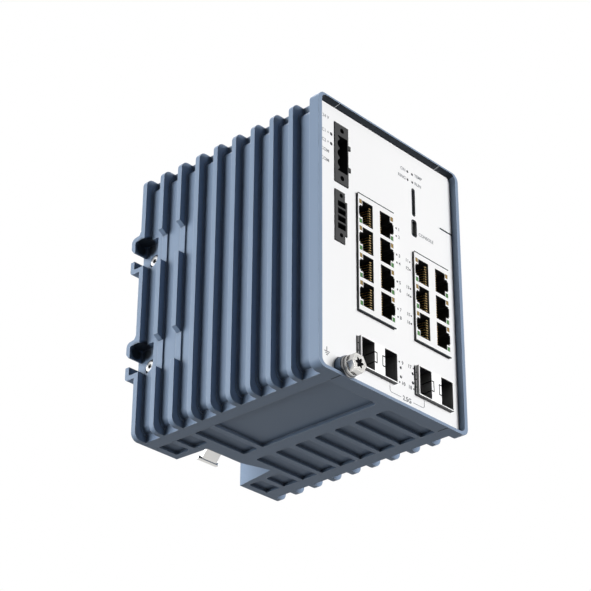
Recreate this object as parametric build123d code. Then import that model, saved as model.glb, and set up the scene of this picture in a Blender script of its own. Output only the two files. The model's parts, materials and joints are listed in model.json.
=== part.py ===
from build123d import *
import os

# Lengths are in millimetres. X runs to the right seen from the front, Y from the
# front rim to the rear face, Z up from the underside of the case.

# Case
WIDTH = 100.0
DEPTH = 115.0
CORNER_R = 4.0
COVER_W = 14.2
SEAM_GAP = 0.1
FIT = 0.25

# Front rim and the panel set back inside it
RIM_SIDE = 2.2
RIM_TOP = 0.8
RIM_TOP_FOOT = 1.6
RIM_BOTTOM = 1.5
RIM_R = 3.0
PANEL_SETBACK = 3.2
PANEL_T = 0.6
PANEL_GAP = 0.2

# Fins and grooves of the side covers
FIN_T = 2.7
FIN_COUNT = 9
FIRST_FIN_Y = 15.8
FRONT_FLANGE = 5.6
GROOVE_DEPTH = 4.1
LEDGE_DEPTH = 3.3
LEDGE_W = 0.4
GROOVE_END = 7.0
COVER_SKIN = 0.9
COVER_FLOOR = 5.2
CAVITY_R = 3.6
REAR_WEB = 1.5

# Rear ears, given from the axis of the cover screw in each ear
EAR_SCREW_INSET = 2.8
EAR_SCREW_Z = 38.9
EAR_PITCH = 56.1
EAR_W = 8.0
EAR_REACH = 6.1
EAR_TOP = 14.5
EAR_BOTTOM = 7.6
EAR_WALL = 2.5
EAR_FLOOR_T = 1.6
EAR_SLOT_TOP = 4.1
EAR_SLOT_BOTTOM = -0.8
POCKET_R = 5.3
POCKET_TOP = 10.0
FIN_GAP_BOTTOM = -6.35
FIN_GAP_TOP = 10.7

# Middle housing
FLOOR_T = 3.6
REAR_WALL = 4.0
POCKET_DEPTH = 1.7
POCKET_CORNER_R = 1.6
CHANNEL_HALF = 20.0
CHANNEL_DEPTH = 5.2
CHANNEL_ABOVE_CLIP = 4.0
CHANNEL_WALL = 2.3
RECESS_HEIGHT = 27.0
POST_W = 5.7
POST_DEPTH = 7.0

# Boards
BOARD_T = 1.6
BOARD_FRONT = 8.2
POWER_BOARD_OFFSET = -0.3
LEFT_BOARD_OFFSET = 14.7
BACKPLANE_FROM_REAR = 22.0
RAIL_H = 2.6
RAIL_T = 1.0
RAIL_GAP = 0.1
CONNECTOR_REACH = 6.0
CONNECTOR_W = 5.2
CONNECTOR_H = 36.0
TRANSFORMER_W = 9.6
TRANSFORMER_SIDE = 20.0
TRANSFORMER_Y = 26.0
CAPACITOR_R = 5.0
CAPACITOR_L = 10.5
CHIP_SIDE = 24.0
CHIP_T = 2.2

# Stacked jacks
JACK_PROUD = 1.1
JACK_DEPTH = 25.0
BLOCK_W = 24.8
BLOCK_SIDE_GAP = 2.6
PORT_PITCH = 13.97
BLOCK_FOOT = 9.0
BLOCK_HEAD = 9.0
PORT_HALF = 6.05
PORT_MAIN = 7.1
NOTCH_STEP = 1.8
NOTCH_END = 0.6
NOTCH_HALF = 3.1
NOTCH_END_HALF = 2.25
LEFT_WALL = 10.0
RIGHT_WALL = 15.0
PORT_HOLE_DEPTH = 15.0
SHEET_T = 0.3
LIGHT_W = 1.8
LIGHT_H = 2.2
LIGHT_OFFSET = 5.05
CONTACT_PITCH = 1.27
CONTACT_W = 0.45
CONTACT_COUNT = 8

# Module cages
CAGE_PROUD = 2.0
CAGE_BOTTOM = 10.45
CAGE_LIP = 0.5
CAGE_OPENING = 8.3
CAGE_OPENING_H = 13.6
CAGE_DIVIDER = 6.9
CAGE_DEPTH = 48.0
CAGE_WALL = 0.4
CAGE_FACE_T = 1.5
CAGE_BACK = 4.0
CAGE_SPRING = 1.0
CAGE_SPRING_COUNT = 4
CAGE_SPRING_H = 3.2
TONGUE_H = 5.4
TONGUE_W = 1.8
TONGUE_SLIT = 0.55
TONGUE_DEPTH = 6.0
SOCKET_W = 6.2
SOCKET_H = 11.0
SOCKET_DEPTH = 8.0
SOCKET_SLOT_W = 1.2
SOCKET_SLOT_H = 9.2
SOCKET_SLOT_DEPTH = 5.0
BLOCK_ABOVE_CAGE = 12.75

# Headers on the power board
HEADER_PROUD = 0.4
HEADER_DEPTH = 12.0
POWER_HEADER_W = 9.2
POWER_HEADER_H = 31.5
POWER_PITCH = 5.08
POWER_SCREW_SPAN = 25.4
POWER_SCREW_X = 4.9
POWER_SCREW_R = 1.3
SCREW_HOLE_DEPTH = 6.0
POWER_OPENING_LEFT = 3.1
POWER_OPENING_H = 18.9
POWER_OPENING_DEPTH = 9.0
POWER_WALL = 0.6
POWER_LUG_W = 1.6
POWER_LUG_H = 2.2
POWER_LUG_DEPTH = 5.0
SCALLOP_R = 2.3
SCALLOP_SHIFT = 1.0
POWER_PIN_X = 3.65
POWER_PIN_W = 1.0
IO_HEADER_W = 6.6
IO_HEADER_H = 26.2
IO_PITCH = 3.81
IO_SCREW_SPAN = 20.4
IO_SCREW_X = 4.1
IO_SCREW_R = 1.1
IO_STEP_W = 1.5
IO_STEP_H = 17.4
IO_CELL_X = 1.8
IO_CELL_W = 5.2
IO_CELL_H = 2.9
IO_CELL_DEPTH = 8.0
IO_CELL_RISE = 0.75
IO_PIN_X = 3.8
IO_PIN_W = 0.8
PIN_LENGTH = 6.0
IO_ABOVE_BLOCK_FOOT = 29.44
HEADER_SPACING = 4.2
HEADER_TO_TOP = 9.36

# Card slot and console socket
CONSOLE_ABOVE_BLOCK = 8.8
CONSOLE_FROM_BOARD = 0.35
CONSOLE_W = 3.3
CONSOLE_H = 9.0
CARD_ABOVE_CONSOLE = 2.4
CARD_FROM_BOARD = 1.0
CARD_SLOT_W = 1.6
CARD_SLOT_H = 14.5
CARD_WALL = 0.5
CARD_SOCKET_DEPTH = 17.0
CARD_BACK = 2.0
CONSOLE_DEPTH = 9.0
CONSOLE_BACK = 2.6
CONSOLE_R = 1.1
SHELL_T = 0.4

# Ground screw
GROUND_FROM_SEAM = 4.4
GROUND_Z = 5.3
GROUND_BOSS_R = 5.3
GROUND_BOSS_DEPTH = 12.0
WASHER_R = 5.0
WASHER_T = 1.0
SPRING_WASHER_R = 4.6
SPRING_WASHER_T = 1.2
WASHER_SPLIT = 0.6
FLANGE_R = 4.7
FLANGE_T = 0.6
HEAD_T = 3.5
HEAD_AF = 8.0
GROUND_SHANK_R = 2.5
GROUND_DRIVE_R = 2.2
GROUND_DRIVE_DEPTH = 2.2

# Light pipes
POWER_LIGHT_R = 0.85
STATUS_LIGHT_R = 0.7
MODULE_LIGHT_R = 0.75
PORT_LIGHT_R = 0.5
PIPE_FLANGE = 0.3
PIPE_FLANGE_T = 0.8
PIPE_LENGTH = 1.8
PIPE_PLAY = 0.02

# Rail clip
SHEET = 1.5
CLIP_HALF = 17.0
CLIP_BOTTOM = 30.0
CLIP_TOP = 100.0
RAIL_BOTTOM = 52.2
RAIL_HEIGHT = 35.0
RAIL_LIP = 1.0
RAIL_PLAY = 0.15
HOOK_OVERLAP = 3.0
LATCH_HALF = 12.0
LATCH_SHEET = 1.4
LATCH_FIT = 0.1
LATCH_BOTTOM = 26.0
STEM_HALF = 4.7
FOOT_HALF = 6.6
FOOT_Z = 5.6
FOOT_T = 1.2
SPRING_BOTTOM = 34.0
SPRING_LENGTH = 14.0
SPRING_R = 1.8
SPRING_WIRE_R = 0.3
SPRING_TURNS = 5

# Small screws
SCREW_R = 1.5
SCREW_HEAD_R = 3.0
SCREW_HEAD_T = 1.8
SCREW_PLAY = 0.05

# Sizes that follow from the ones above
SEAM_X = WIDTH / 2 - COVER_W
CHANNEL_TOP = CLIP_TOP + CHANNEL_ABOVE_CLIP
PANEL_BACK = PANEL_SETBACK + PANEL_T
JACK_FRONT = PANEL_SETBACK - JACK_PROUD
CAGE_FRONT = PANEL_SETBACK - CAGE_PROUD
HEADER_FRONT = PANEL_SETBACK - HEADER_PROUD
FIN_PITCH = (DEPTH - FIN_T - FIRST_FIN_Y) / (FIN_COUNT - 1)
CAVITY_X = WIDTH / 2 - GROOVE_DEPTH - COVER_SKIN
HOUSING_X = SEAM_X - SEAM_GAP
CAGE_HEIGHT = CAGE_OPENING_H + 2 * CAGE_LIP
CAGE_W = 2 * CAGE_OPENING + CAGE_DIVIDER + 2 * CAGE_LIP
BLOCK_BOTTOM = CAGE_BOTTOM + CAGE_HEIGHT + BLOCK_ABOVE_CAGE
LOWEST_PORT = BLOCK_BOTTOM + BLOCK_FOOT
IO_BOTTOM = BLOCK_BOTTOM + IO_ABOVE_BLOCK_FOOT
POWER_BOTTOM = IO_BOTTOM + IO_HEADER_H + HEADER_SPACING
HEIGHT = POWER_BOTTOM + POWER_HEADER_H + HEADER_TO_TOP
POWER_FACE = -SEAM_X + POWER_BOARD_OFFSET
LEFT_FACE = POWER_FACE + LEFT_BOARD_OFFSET
RIGHT_FACE = CAVITY_X - BLOCK_SIDE_GAP - BLOCK_W
BLOCK_TOP_SIX = LOWEST_PORT + 2 * PORT_PITCH + BLOCK_HEAD
CONSOLE_BOTTOM = BLOCK_TOP_SIX + CONSOLE_ABOVE_BLOCK
CARD_BOTTOM = CONSOLE_BOTTOM + CONSOLE_H + CARD_ABOVE_CONSOLE
BACKPLANE_Y = DEPTH - BACKPLANE_FROM_REAR
BOARD_REAR = BACKPLANE_Y - 5.0
EAR_SCREW_Y = DEPTH - EAR_SCREW_INSET
EAR_HEIGHTS = (EAR_SCREW_Z, EAR_SCREW_Z + EAR_PITCH)
CHANNEL_Y = DEPTH - CHANNEL_DEPTH
GROUND_X = -SEAM_X + GROUND_FROM_SEAM
HEAD_FACE = WASHER_T + SPRING_WASHER_T + FLANGE_T + HEAD_T
ORIGIN_Y = (DEPTH + EAR_REACH - HEAD_FACE) / 2


# Basic shapes

def block(x, y, z):
    """Straight block between pairs of limits."""
    sizes = [limits[1] - limits[0] for limits in (x, y, z)]
    middle = [(limits[0] + limits[1]) / 2 for limits in (x, y, z)]
    return Pos(*middle) * Box(*sizes)


def rod_x(x, y, z, radius):
    """Round rod along X between two X limits."""
    return Pos((x[0] + x[1]) / 2, y, z) * Rot(0, 90, 0) * Cylinder(radius, x[1] - x[0])


def rod_y(x, y, z, radius):
    """Round rod along Y between two Y limits."""
    return Pos(x, (y[0] + y[1]) / 2, z) * Rot(90, 0, 0) * Cylinder(radius, y[1] - y[0])


def prism_y(outline, y):
    """Solid with an XZ outline between two Y limits."""
    return extrude(Plane.XZ.offset(-y[0]) * outline, -(y[1] - y[0]))


def prism_x(outline, x):
    """Solid with a YZ outline between two X limits."""
    return extrude(Plane.YZ.offset(x[0]) * outline, x[1] - x[0])


def prism_z(outline, z):
    """Solid with an XY outline between two Z limits."""
    return extrude(Plane.XY.offset(z[0]) * outline, z[1] - z[0])


def rounded(x, z, radius):
    """Flat rounded rectangle between pairs of limits."""
    outline = RectangleRounded(x[1] - x[0], z[1] - z[0], radius)
    return Pos((x[0] + x[1]) / 2, (z[0] + z[1]) / 2) * outline


def polygon(points):
    """Flat face inside straight lines through the points."""
    return make_face(Polyline(*points, close=True))


def group(solids):
    """Several separate solids kept under one name."""
    return Compound([solid for shape in solids for solid in shape.solids()])


def save(name, shape):
    """Write one piece, moved so that the middle of the whole object is at Y 0."""
    export_step(Pos(0, -ORIGIN_Y, 0) * shape, f"parts/{name}.step")


def fin_y(index):
    """Front face of a fin."""
    return FIRST_FIN_Y + index * FIN_PITCH


# Side covers

def case_outline(inset, radius):
    """Outline of the case seen from the front, drawn in by an inset."""
    return rounded((inset - WIDTH / 2, WIDTH / 2 - inset), (inset, HEIGHT - inset), radius)


def groove(y, depth):
    """Space of one groove round the side and both corners of the left cover."""
    around = case_outline(-1, CORNER_R + 1)
    core = case_outline(depth, CORNER_R)
    half = block((-WIDTH, -WIDTH / 2 + GROOVE_END), y, (-1, HEIGHT + 1))
    return (prism_y(around, y) - prism_y(core, y)) & half


def stepped_groove(y):
    """Groove with a narrow ledge beside its floor."""
    root = (y[0] + LEDGE_W, y[1] - LEDGE_W)
    return groove(y, LEDGE_DEPTH) + groove(root, GROOVE_DEPTH)


def groove_spans():
    """Y limits of every groove from front to rear."""
    spans = [(FRONT_FLANGE, FIRST_FIN_Y)]
    for index in range(FIN_COUNT - 1):
        spans.append((fin_y(index) + FIN_T, fin_y(index + 1)))
    return spans


def ear_pocket():
    """YZ outline of the screw pocket of an ear, from the screw axis."""
    straight = (-POCKET_R, EAR_SCREW_INSET + EAR_REACH - EAR_WALL)
    return Circle(POCKET_R) + rounded(straight, (0, POCKET_TOP), 0.8) + rounded(
        (-POCKET_R, POCKET_R), (0, POCKET_TOP / 2), 0.8) + rounded(
        (0, straight[1]), (-POCKET_R, POCKET_R), 0.8)


def ear_outline():
    """YZ outline of a whole ear, from the screw axis."""
    rear = EAR_SCREW_INSET
    tip = rear + EAR_REACH
    outline = polygon([
        (rear - FIN_T, EAR_TOP), (rear, EAR_TOP), (rear + 1.2, EAR_TOP - 1.9),
        (tip, POCKET_TOP + 2.0), (tip, -EAR_BOTTOM), (rear - FIN_T, -EAR_BOTTOM)])
    corners = outline.vertices().group_by(Axis.X)[-1]
    outline = fillet(corners.sort_by(Axis.Y)[-1], 2.4)
    corners = outline.vertices().group_by(Axis.X)[-1]
    return fillet(corners.sort_by(Axis.Y)[0], 1.6)


def ear_section():
    """YZ outline of the walls of an ear, from the screw axis."""
    tip = EAR_SCREW_INSET + EAR_REACH
    slot = polygon([
        (0, EAR_SLOT_BOTTOM), (tip + 1, EAR_SLOT_BOTTOM), (tip + 1, EAR_SLOT_TOP + 3.4),
        (tip, EAR_SLOT_TOP + 2.1), (tip - 1.7, EAR_SLOT_TOP), (0, EAR_SLOT_TOP)])
    return ear_outline() - ear_pocket() - slot


def fin_gap(index, height):
    """Space where a fin is cut away beside an ear, down to the ledge."""
    outer = -WIDTH / 2 - 1
    inner = -WIDTH / 2 + LEDGE_DEPTH
    outline = polygon([
        (outer, height + FIN_GAP_BOTTOM), (inner, height + FIN_GAP_BOTTOM),
        (inner, height + FIN_GAP_TOP - 2.4), (outer, height + FIN_GAP_TOP + 0.7)])
    return prism_y(outline, (fin_y(index), fin_y(index) + FIN_T))


def rim_opening():
    """Opening of the front rim, its top wall sloping down to the panel."""
    sides = (RIM_SIDE - WIDTH / 2, WIDTH / 2 - RIM_SIDE)
    front = rounded(sides, (RIM_BOTTOM, HEIGHT - RIM_TOP), RIM_R)
    foot = rounded(sides, (RIM_BOTTOM, HEIGHT - RIM_TOP_FOOT), RIM_R)
    slope = loft([Plane.XZ * front, Plane.XZ.offset(-PANEL_SETBACK) * foot], ruled=True)
    return prism_y(front, (-1, 0)) + slope + prism_y(foot, (PANEL_SETBACK, PANEL_BACK))


def plain_cover():
    """Left side cover without the bosses that only that side has."""
    inner = -SEAM_X
    whole = prism_y(case_outline(0, CORNER_R), (0, DEPTH))
    cover = whole & block((-WIDTH, inner), (-1, DEPTH + 1), (-1, HEIGHT + 1))
    cover -= [stepped_groove(span) for span in groove_spans()]
    cover -= rim_opening()
    rear_cavity = DEPTH - EAR_SCREW_INSET - POCKET_R - REAR_WEB
    cavity = rounded((-CAVITY_X, WIDTH / 2), (COVER_FLOOR, HEIGHT - COVER_FLOOR), CAVITY_R)
    cover -= prism_y(cavity, (PANEL_BACK - 1, rear_cavity))
    pocket_floor = -WIDTH / 2 + EAR_W
    cover -= block((pocket_floor + EAR_FLOOR_T, 0), (rear_cavity - 1, DEPTH - 3.5),
                   (COVER_FLOOR, HEIGHT - COVER_FLOOR))
    for height in EAR_HEIGHTS:
        place = Pos(EAR_SCREW_Y, height)
        seat = rod_x((pocket_floor + 0.8, inner), EAR_SCREW_Y - 0.7, height, 4.0)
        cover += seat & block((-WIDTH, inner), (rear_cavity, DEPTH), (0, HEIGHT))
        cover -= prism_x(place * ear_pocket(), (-WIDTH / 2 - 1, pocket_floor))
        cover += prism_x(place * ear_section(), (-WIDTH / 2, pocket_floor))
        cover += prism_x(place * ear_outline(), (pocket_floor, pocket_floor + EAR_FLOOR_T))
        cover -= rod_x((pocket_floor - 1, pocket_floor + 0.8), EAR_SCREW_Y, height, 3.8)
        cover -= rod_x((pocket_floor, inner + 1), EAR_SCREW_Y, height, SCREW_R + 0.2)
        for index in (FIN_COUNT - 3, FIN_COUNT - 2):
            cover -= fin_gap(index, height)
    return cover


def board_posts():
    """Positions in Y and Z of the four posts that carry the power board."""
    return [(y, z) for y in (24.0, BOARD_REAR - 4.0) for z in (16.0, HEIGHT - 16.5)]


def left_cover():
    """Left cover with power board posts and its part of the ground boss."""
    cover = plain_cover()
    board = POWER_FACE - BOARD_T
    for y, z in board_posts():
        cover += rod_x((-CAVITY_X - 0.4, board), y, z, 3.2)
        cover -= rod_x((board - 7.0, board + 1), y, z, SCREW_R + SCREW_PLAY)
    boss = ground_boss() & block((-WIDTH, -SEAM_X), (-1, DEPTH), (0, HEIGHT))
    return cover + boss


def ground_boss():
    """Round boss of the ground screw, level with the front rim."""
    boss = rod_y(GROUND_X, (0, GROUND_BOSS_DEPTH), GROUND_Z, GROUND_BOSS_R)
    return boss & block((-WIDTH, 0), (-1, DEPTH), (0, HEIGHT))


# Middle housing

def recess_outline(margin):
    """XY outline of the finger recess behind the latch tab."""
    rear = DEPTH + 1 if margin == 0 else DEPTH
    return polygon([
        (-CHANNEL_HALF - 1 - margin, rear), (-CHANNEL_HALF - margin, DEPTH - 19.0 - margin),
        (1.8 + margin / 4, DEPTH - 19.0 - margin), (17.2 + margin, DEPTH - 23.6 - margin),
        (CHANNEL_HALF + 1 + margin, rear)])


def shallow_pocket(x, y):
    """One shallow pocket of the underside."""
    return prism_z(rounded(x, y, POCKET_CORNER_R), (-1, POCKET_DEPTH))


def underside_pockets():
    """Pockets between the ribs of the underside."""
    edge = SEAM_X + 6.0
    front = FRONT_FLANGE + 2.0
    back = DEPTH - 3.5
    starts = [front] + [fin_y(index) + FIN_T for index in range(FIN_COUNT - 1)]
    ends = [fin_y(index) for index in range(FIN_COUNT - 1)] + [back]
    pockets = [shallow_pocket((-edge, -4.1), (starts[0], ends[5]))]
    pockets.append(shallow_pocket((-edge, -4.1), (starts[6], ends[6])))
    for row in (7, 8):
        pockets.append(shallow_pocket((-edge, -CHANNEL_HALF - 4.2), (starts[row], ends[row])))
        pockets.append(shallow_pocket((CHANNEL_HALF + 2.8, edge), (starts[row], ends[row])))
    for row in range(7):
        pockets.append(shallow_pocket((3.6, edge), (starts[row], ends[row])))
    return pockets


def top_pockets():
    """Plain row of the same pockets on the top."""
    pockets = []
    for row in range(FIN_COUNT - 1):
        y = (fin_y(row) + FIN_T, fin_y(row + 1))
        outline = rounded((-SEAM_X - 6.0, SEAM_X + 6.0), y, POCKET_CORNER_R)
        pockets.append(prism_z(outline, (HEIGHT - POCKET_DEPTH, HEIGHT + 1)))
    return pockets


def backplane_screws():
    """Positions in X and Z of the four backplane screws."""
    low = BLOCK_BOTTOM + 6.0
    return [(x, z) for x in (-28.0, CHANNEL_HALF + 2.0) for z in (low, HEIGHT - 17.5)]


def clip_screws_at():
    """Positions in X and Z of the four clip plate screws."""
    return [(x, z) for x in (-10.5, 10.5) for z in (RAIL_BOTTOM + 8.0, CLIP_TOP - 6.5)]


def board_rails(face):
    """Pairs of ribs that hold a switch board at floor and ceiling."""
    ribs = []
    y = (BOARD_FRONT + 2.0, BOARD_REAR)
    for inner in (face + RAIL_GAP, face - BOARD_T - RAIL_GAP - RAIL_T):
        x = (inner, inner + RAIL_T)
        ribs.append(block(x, y, (FLOOR_T - 0.5, FLOOR_T + RAIL_H)))
        ribs.append(block(x, y, (HEIGHT - FLOOR_T - RAIL_H, HEIGHT - FLOOR_T + 0.5)))
    return ribs


def middle_housing():
    """Middle part of the die-cast case, open at both sides."""
    x = (-HOUSING_X, HOUSING_X)
    rear_inside = DEPTH - REAR_WALL
    channel_inside = CHANNEL_Y - CHANNEL_WALL
    body = block(x, (0, DEPTH), (0, HEIGHT))
    body -= rim_opening()
    body -= block((-WIDTH, WIDTH), (0, rear_inside), (FLOOR_T, HEIGHT - FLOOR_T))
    wide = CHANNEL_HALF + CHANNEL_WALL
    body += block((-wide, wide), (channel_inside, DEPTH), (0, CHANNEL_TOP + CHANNEL_WALL))
    body += prism_z(recess_outline(CHANNEL_WALL), (0, RECESS_HEIGHT + CHANNEL_WALL))
    for side in (-1, 1):
        post = sorted((side * (HOUSING_X - POST_W), side * HOUSING_X))
        body += block(post, (DEPTH - POST_DEPTH, DEPTH), (0, HEIGHT))
    for px, pz in backplane_screws():
        body += rod_y(px, (BACKPLANE_Y + BOARD_T, rear_inside + 1), pz, 3.2)
    for px, pz in clip_screws_at():
        body += rod_y(px, (channel_inside - 5.0, CHANNEL_Y), pz, 3.2)
    for face in (LEFT_FACE, RIGHT_FACE):
        body += board_rails(face)
    body += ground_boss() & block((-HOUSING_X, 0), (-1, DEPTH), (0, HEIGHT))
    body -= block((-CHANNEL_HALF, CHANNEL_HALF), (CHANNEL_Y, DEPTH + 1), (-1, CHANNEL_TOP))
    body -= prism_z(recess_outline(0), (-1, RECESS_HEIGHT))
    body -= underside_pockets() + top_pockets()
    hole = SCREW_R + SCREW_PLAY
    for height in EAR_HEIGHTS:
        for side in (-1, 1):
            limits = sorted((side * (HOUSING_X - POST_W + 1), side * WIDTH))
            body -= rod_x(limits, EAR_SCREW_Y, height, hole)
    for px, pz in backplane_screws():
        body -= rod_y(px, (BACKPLANE_Y, BACKPLANE_Y + 10.0), pz, hole)
    for px, pz in clip_screws_at():
        body -= rod_y(px, (channel_inside - 3.5, DEPTH), pz, hole)
    ground = GROUND_SHANK_R + SCREW_PLAY
    return body - rod_y(GROUND_X, (-1, GROUND_BOSS_DEPTH - 2.0), GROUND_Z, ground)


# Front panel

def power_z():
    """Middle height of the power header."""
    return POWER_BOTTOM + POWER_HEADER_H / 2


def io_z():
    """Middle height of the input and output header."""
    return IO_BOTTOM + IO_HEADER_H / 2


def lights_at():
    """Positions in X and Z of the light pipes, by group."""
    power = [(POWER_FACE - 2.0, power_z() + dz) for dz in (8.0, 2.8)]
    status_x = RIGHT_FACE - 2.0
    status_z = CARD_BOTTOM + CARD_SLOT_H + 3.6
    status = [(status_x + dx, status_z + dz) for dx in (0, 3.4) for dz in (0, 4.4)]
    module_x = (LEFT_FACE + CAGE_W + 4.2, RIGHT_FACE - 2.1)
    module = [(x, cage_middle() + dz) for x in module_x for dz in (-1.9, 2.6)]
    port = []
    for row in range(4):
        z = LOWEST_PORT + row * PORT_PITCH
        port += [(LEFT_FACE + BLOCK_W + 2.9, z + dz) for dz in (-1.4, 2.7)]
    for row in range(3):
        z = LOWEST_PORT + row * PORT_PITCH
        port += [(RIGHT_FACE - 2.0, z + dz) for dz in (-1.4, 2.65)]
    return {"power": power, "status": status, "module": module, "port": port}


def light_radii():
    """Radius of the light pipes of every group."""
    return {"power": POWER_LIGHT_R, "status": STATUS_LIGHT_R,
            "module": MODULE_LIGHT_R, "port": PORT_LIGHT_R}


def light_pipes(places, radius):
    """Clear pipes seated behind the panel."""
    pipes = []
    for x, z in places:
        pipe = rod_y(x, (PANEL_SETBACK, PANEL_BACK + PIPE_LENGTH), z, radius - PIPE_PLAY)
        seat = rod_y(x, (PANEL_BACK, PANEL_BACK + PIPE_FLANGE_T), z, radius + PIPE_FLANGE)
        pipes.append(pipe + seat)
    return group(pipes)


def panel_opening(x, z, margin):
    """Opening of the panel round something that passes through it."""
    wider = (x[0] - margin, x[1] + margin)
    taller = (z[0] - margin, z[1] + margin)
    return prism_y(rounded(wider, taller, 0.3), (0, PANEL_BACK + 1))


def front_panel():
    """White plate inside the front rim."""
    x = WIDTH / 2 - RIM_SIDE - PANEL_GAP
    z = (RIM_BOTTOM + PANEL_GAP, HEIGHT - RIM_TOP_FOOT - PANEL_GAP)
    panel = prism_y(rounded((-x, x), z, RIM_R - PANEL_GAP), (PANEL_SETBACK, PANEL_BACK))
    cuts = [rod_y(GROUND_X, (0, PANEL_BACK + 1), GROUND_Z, GROUND_BOSS_R + FIT)]
    cuts.append(panel_opening(power_header_x(), (POWER_BOTTOM, POWER_BOTTOM + POWER_HEADER_H), FIT))
    for lug in power_lugs():
        cuts.append(panel_opening(lug[0], lug[1], FIT))
    cuts.append(panel_opening(io_header_x(), (IO_BOTTOM, IO_BOTTOM + IO_HEADER_H), FIT))
    cuts.append(panel_opening(io_step()[0], io_step()[1], FIT))
    for face, rows in ((LEFT_FACE, 4), (RIGHT_FACE, 3)):
        cuts.append(panel_opening((face, face + BLOCK_W), block_z(rows), FIT))
        cuts.append(panel_opening((face - CAGE_SPRING, face + CAGE_W), cage_z(), FIT / 2))
    cuts.append(prism_y(rounded(console_x(), console_z(), 0.9), (0, PANEL_BACK + 1)))
    cuts.append(prism_y(rounded(card_x(), card_z(), 0.6), (0, PANEL_BACK + 1)))
    for name, places in lights_at().items():
        for px, pz in places:
            cuts.append(rod_y(px, (0, PANEL_BACK + 1), pz, light_radii()[name]))
    return panel - cuts


# Stacked jacks

def block_z(rows):
    """Height limits of a block of jacks."""
    return BLOCK_BOTTOM, LOWEST_PORT + (rows - 1) * PORT_PITCH + BLOCK_HEAD


def port_places(face, rows):
    """Contact wall, height and notch direction of every port of a block."""
    places = []
    for row in range(rows):
        z = LOWEST_PORT + row * PORT_PITCH
        places.append((face + LEFT_WALL, z, -1))
        places.append((face + RIGHT_WALL, z, 1))
    return places


def port_outline(wall, z, way):
    """XZ outline of one jack opening with its stepped latch notch."""
    main = wall + way * PORT_MAIN
    step = main + way * NOTCH_STEP
    end = step + way * NOTCH_END
    upper = [(wall, PORT_HALF), (main, PORT_HALF), (main, NOTCH_HALF), (step, NOTCH_HALF),
             (step, NOTCH_END_HALF), (end, NOTCH_END_HALF)]
    points = upper + [(x, -dz) for x, dz in reversed(upper)]
    return polygon([(x, z + dz) for x, dz in points])


def light_block(wall, z, way, offset, margin, y):
    """Small light window beside the notch of a jack."""
    near = wall + way * (PORT_MAIN + 0.3)
    x = sorted((near - way * margin, near + way * (LIGHT_W + margin)))
    half = LIGHT_H / 2 + margin
    return block(x, y, (z + offset - half, z + offset + half))


def contact(wall, z, way):
    """Spring contact slanting away from the contact wall."""
    y = JACK_FRONT + 2.6
    outline = polygon([(wall + way * 0.05, y), (wall + way * 0.3, y),
                       (wall + way * 2.4, y + 7.0), (wall + way * 2.1, y + 7.0)])
    return prism_z(outline, (z - CONTACT_W / 2, z + CONTACT_W / 2))


def jack_block(prefix, face, rows):
    """Write the five pieces of a block of stacked jacks."""
    z = block_z(rows)
    places = port_places(face, rows)
    back = JACK_FRONT + JACK_DEPTH
    inside = JACK_FRONT + SHEET_T
    inner_x = (face + SHEET_T, face + BLOCK_W - SHEET_T)
    inner_z = (z[0] + SHEET_T, z[1] - SHEET_T)
    openings = [prism_y(port_outline(*place), (0, inside + PORT_HOLE_DEPTH)) for place in places]
    shield = block((face, face + BLOCK_W), (JACK_FRONT, back), z)
    shield -= block(inner_x, (inside, back + 1), inner_z)
    windows = []
    for place in places:
        for offset in (LIGHT_OFFSET, -LIGHT_OFFSET):
            windows.append(light_block(*place, offset, 0.02, (0, inside + 1.2)))
    shield -= openings + windows
    insert = block(inner_x, (inside, back - 0.5), inner_z) - openings - windows
    save(f"{prefix}_shield", shield)
    save(f"{prefix}_insert", insert)
    contacts = []
    for wall, centre, way in places:
        for index in range(CONTACT_COUNT):
            offset = (index - (CONTACT_COUNT - 1) / 2) * CONTACT_PITCH
            contacts.append(contact(wall, centre + offset, way))
    save(f"{prefix}_contacts", group(contacts))
    lit = (JACK_FRONT + 0.05, inside + 1.2)
    for colour, offset in (("amber", LIGHT_OFFSET), ("green", -LIGHT_OFFSET)):
        lights = [light_block(*place, offset, 0, lit) for place in places]
        save(f"{prefix}_{colour}_lights", group(lights))


# Module cages

def cage_z():
    """Height limits of the cages."""
    return CAGE_BOTTOM, CAGE_BOTTOM + CAGE_HEIGHT


def cage_middle():
    """Middle height of the cages."""
    return CAGE_BOTTOM + CAGE_HEIGHT / 2


def cage_openings(face):
    """X limits of the two openings of a pair of cages standing on a board face."""
    first = face + CAGE_LIP
    second = first + CAGE_OPENING + CAGE_DIVIDER
    return [(first, first + CAGE_OPENING), (second, second + CAGE_OPENING)]


def tongue_slit(edge, way):
    """Slit round the spring tongue in the divider beside an opening."""
    y = (CAGE_FRONT - 1, CAGE_FRONT + TONGUE_DEPTH)
    outer = sorted((edge, edge + way * TONGUE_W))
    inner = sorted((edge - way, edge + way * (TONGUE_W - TONGUE_SLIT)))
    half = TONGUE_H / 2
    tall = (cage_middle() - half, cage_middle() + half)
    short = (tall[0] + TONGUE_SLIT, tall[1] - TONGUE_SLIT)
    return block(outer, y, tall) - block(inner, y, short)


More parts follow.
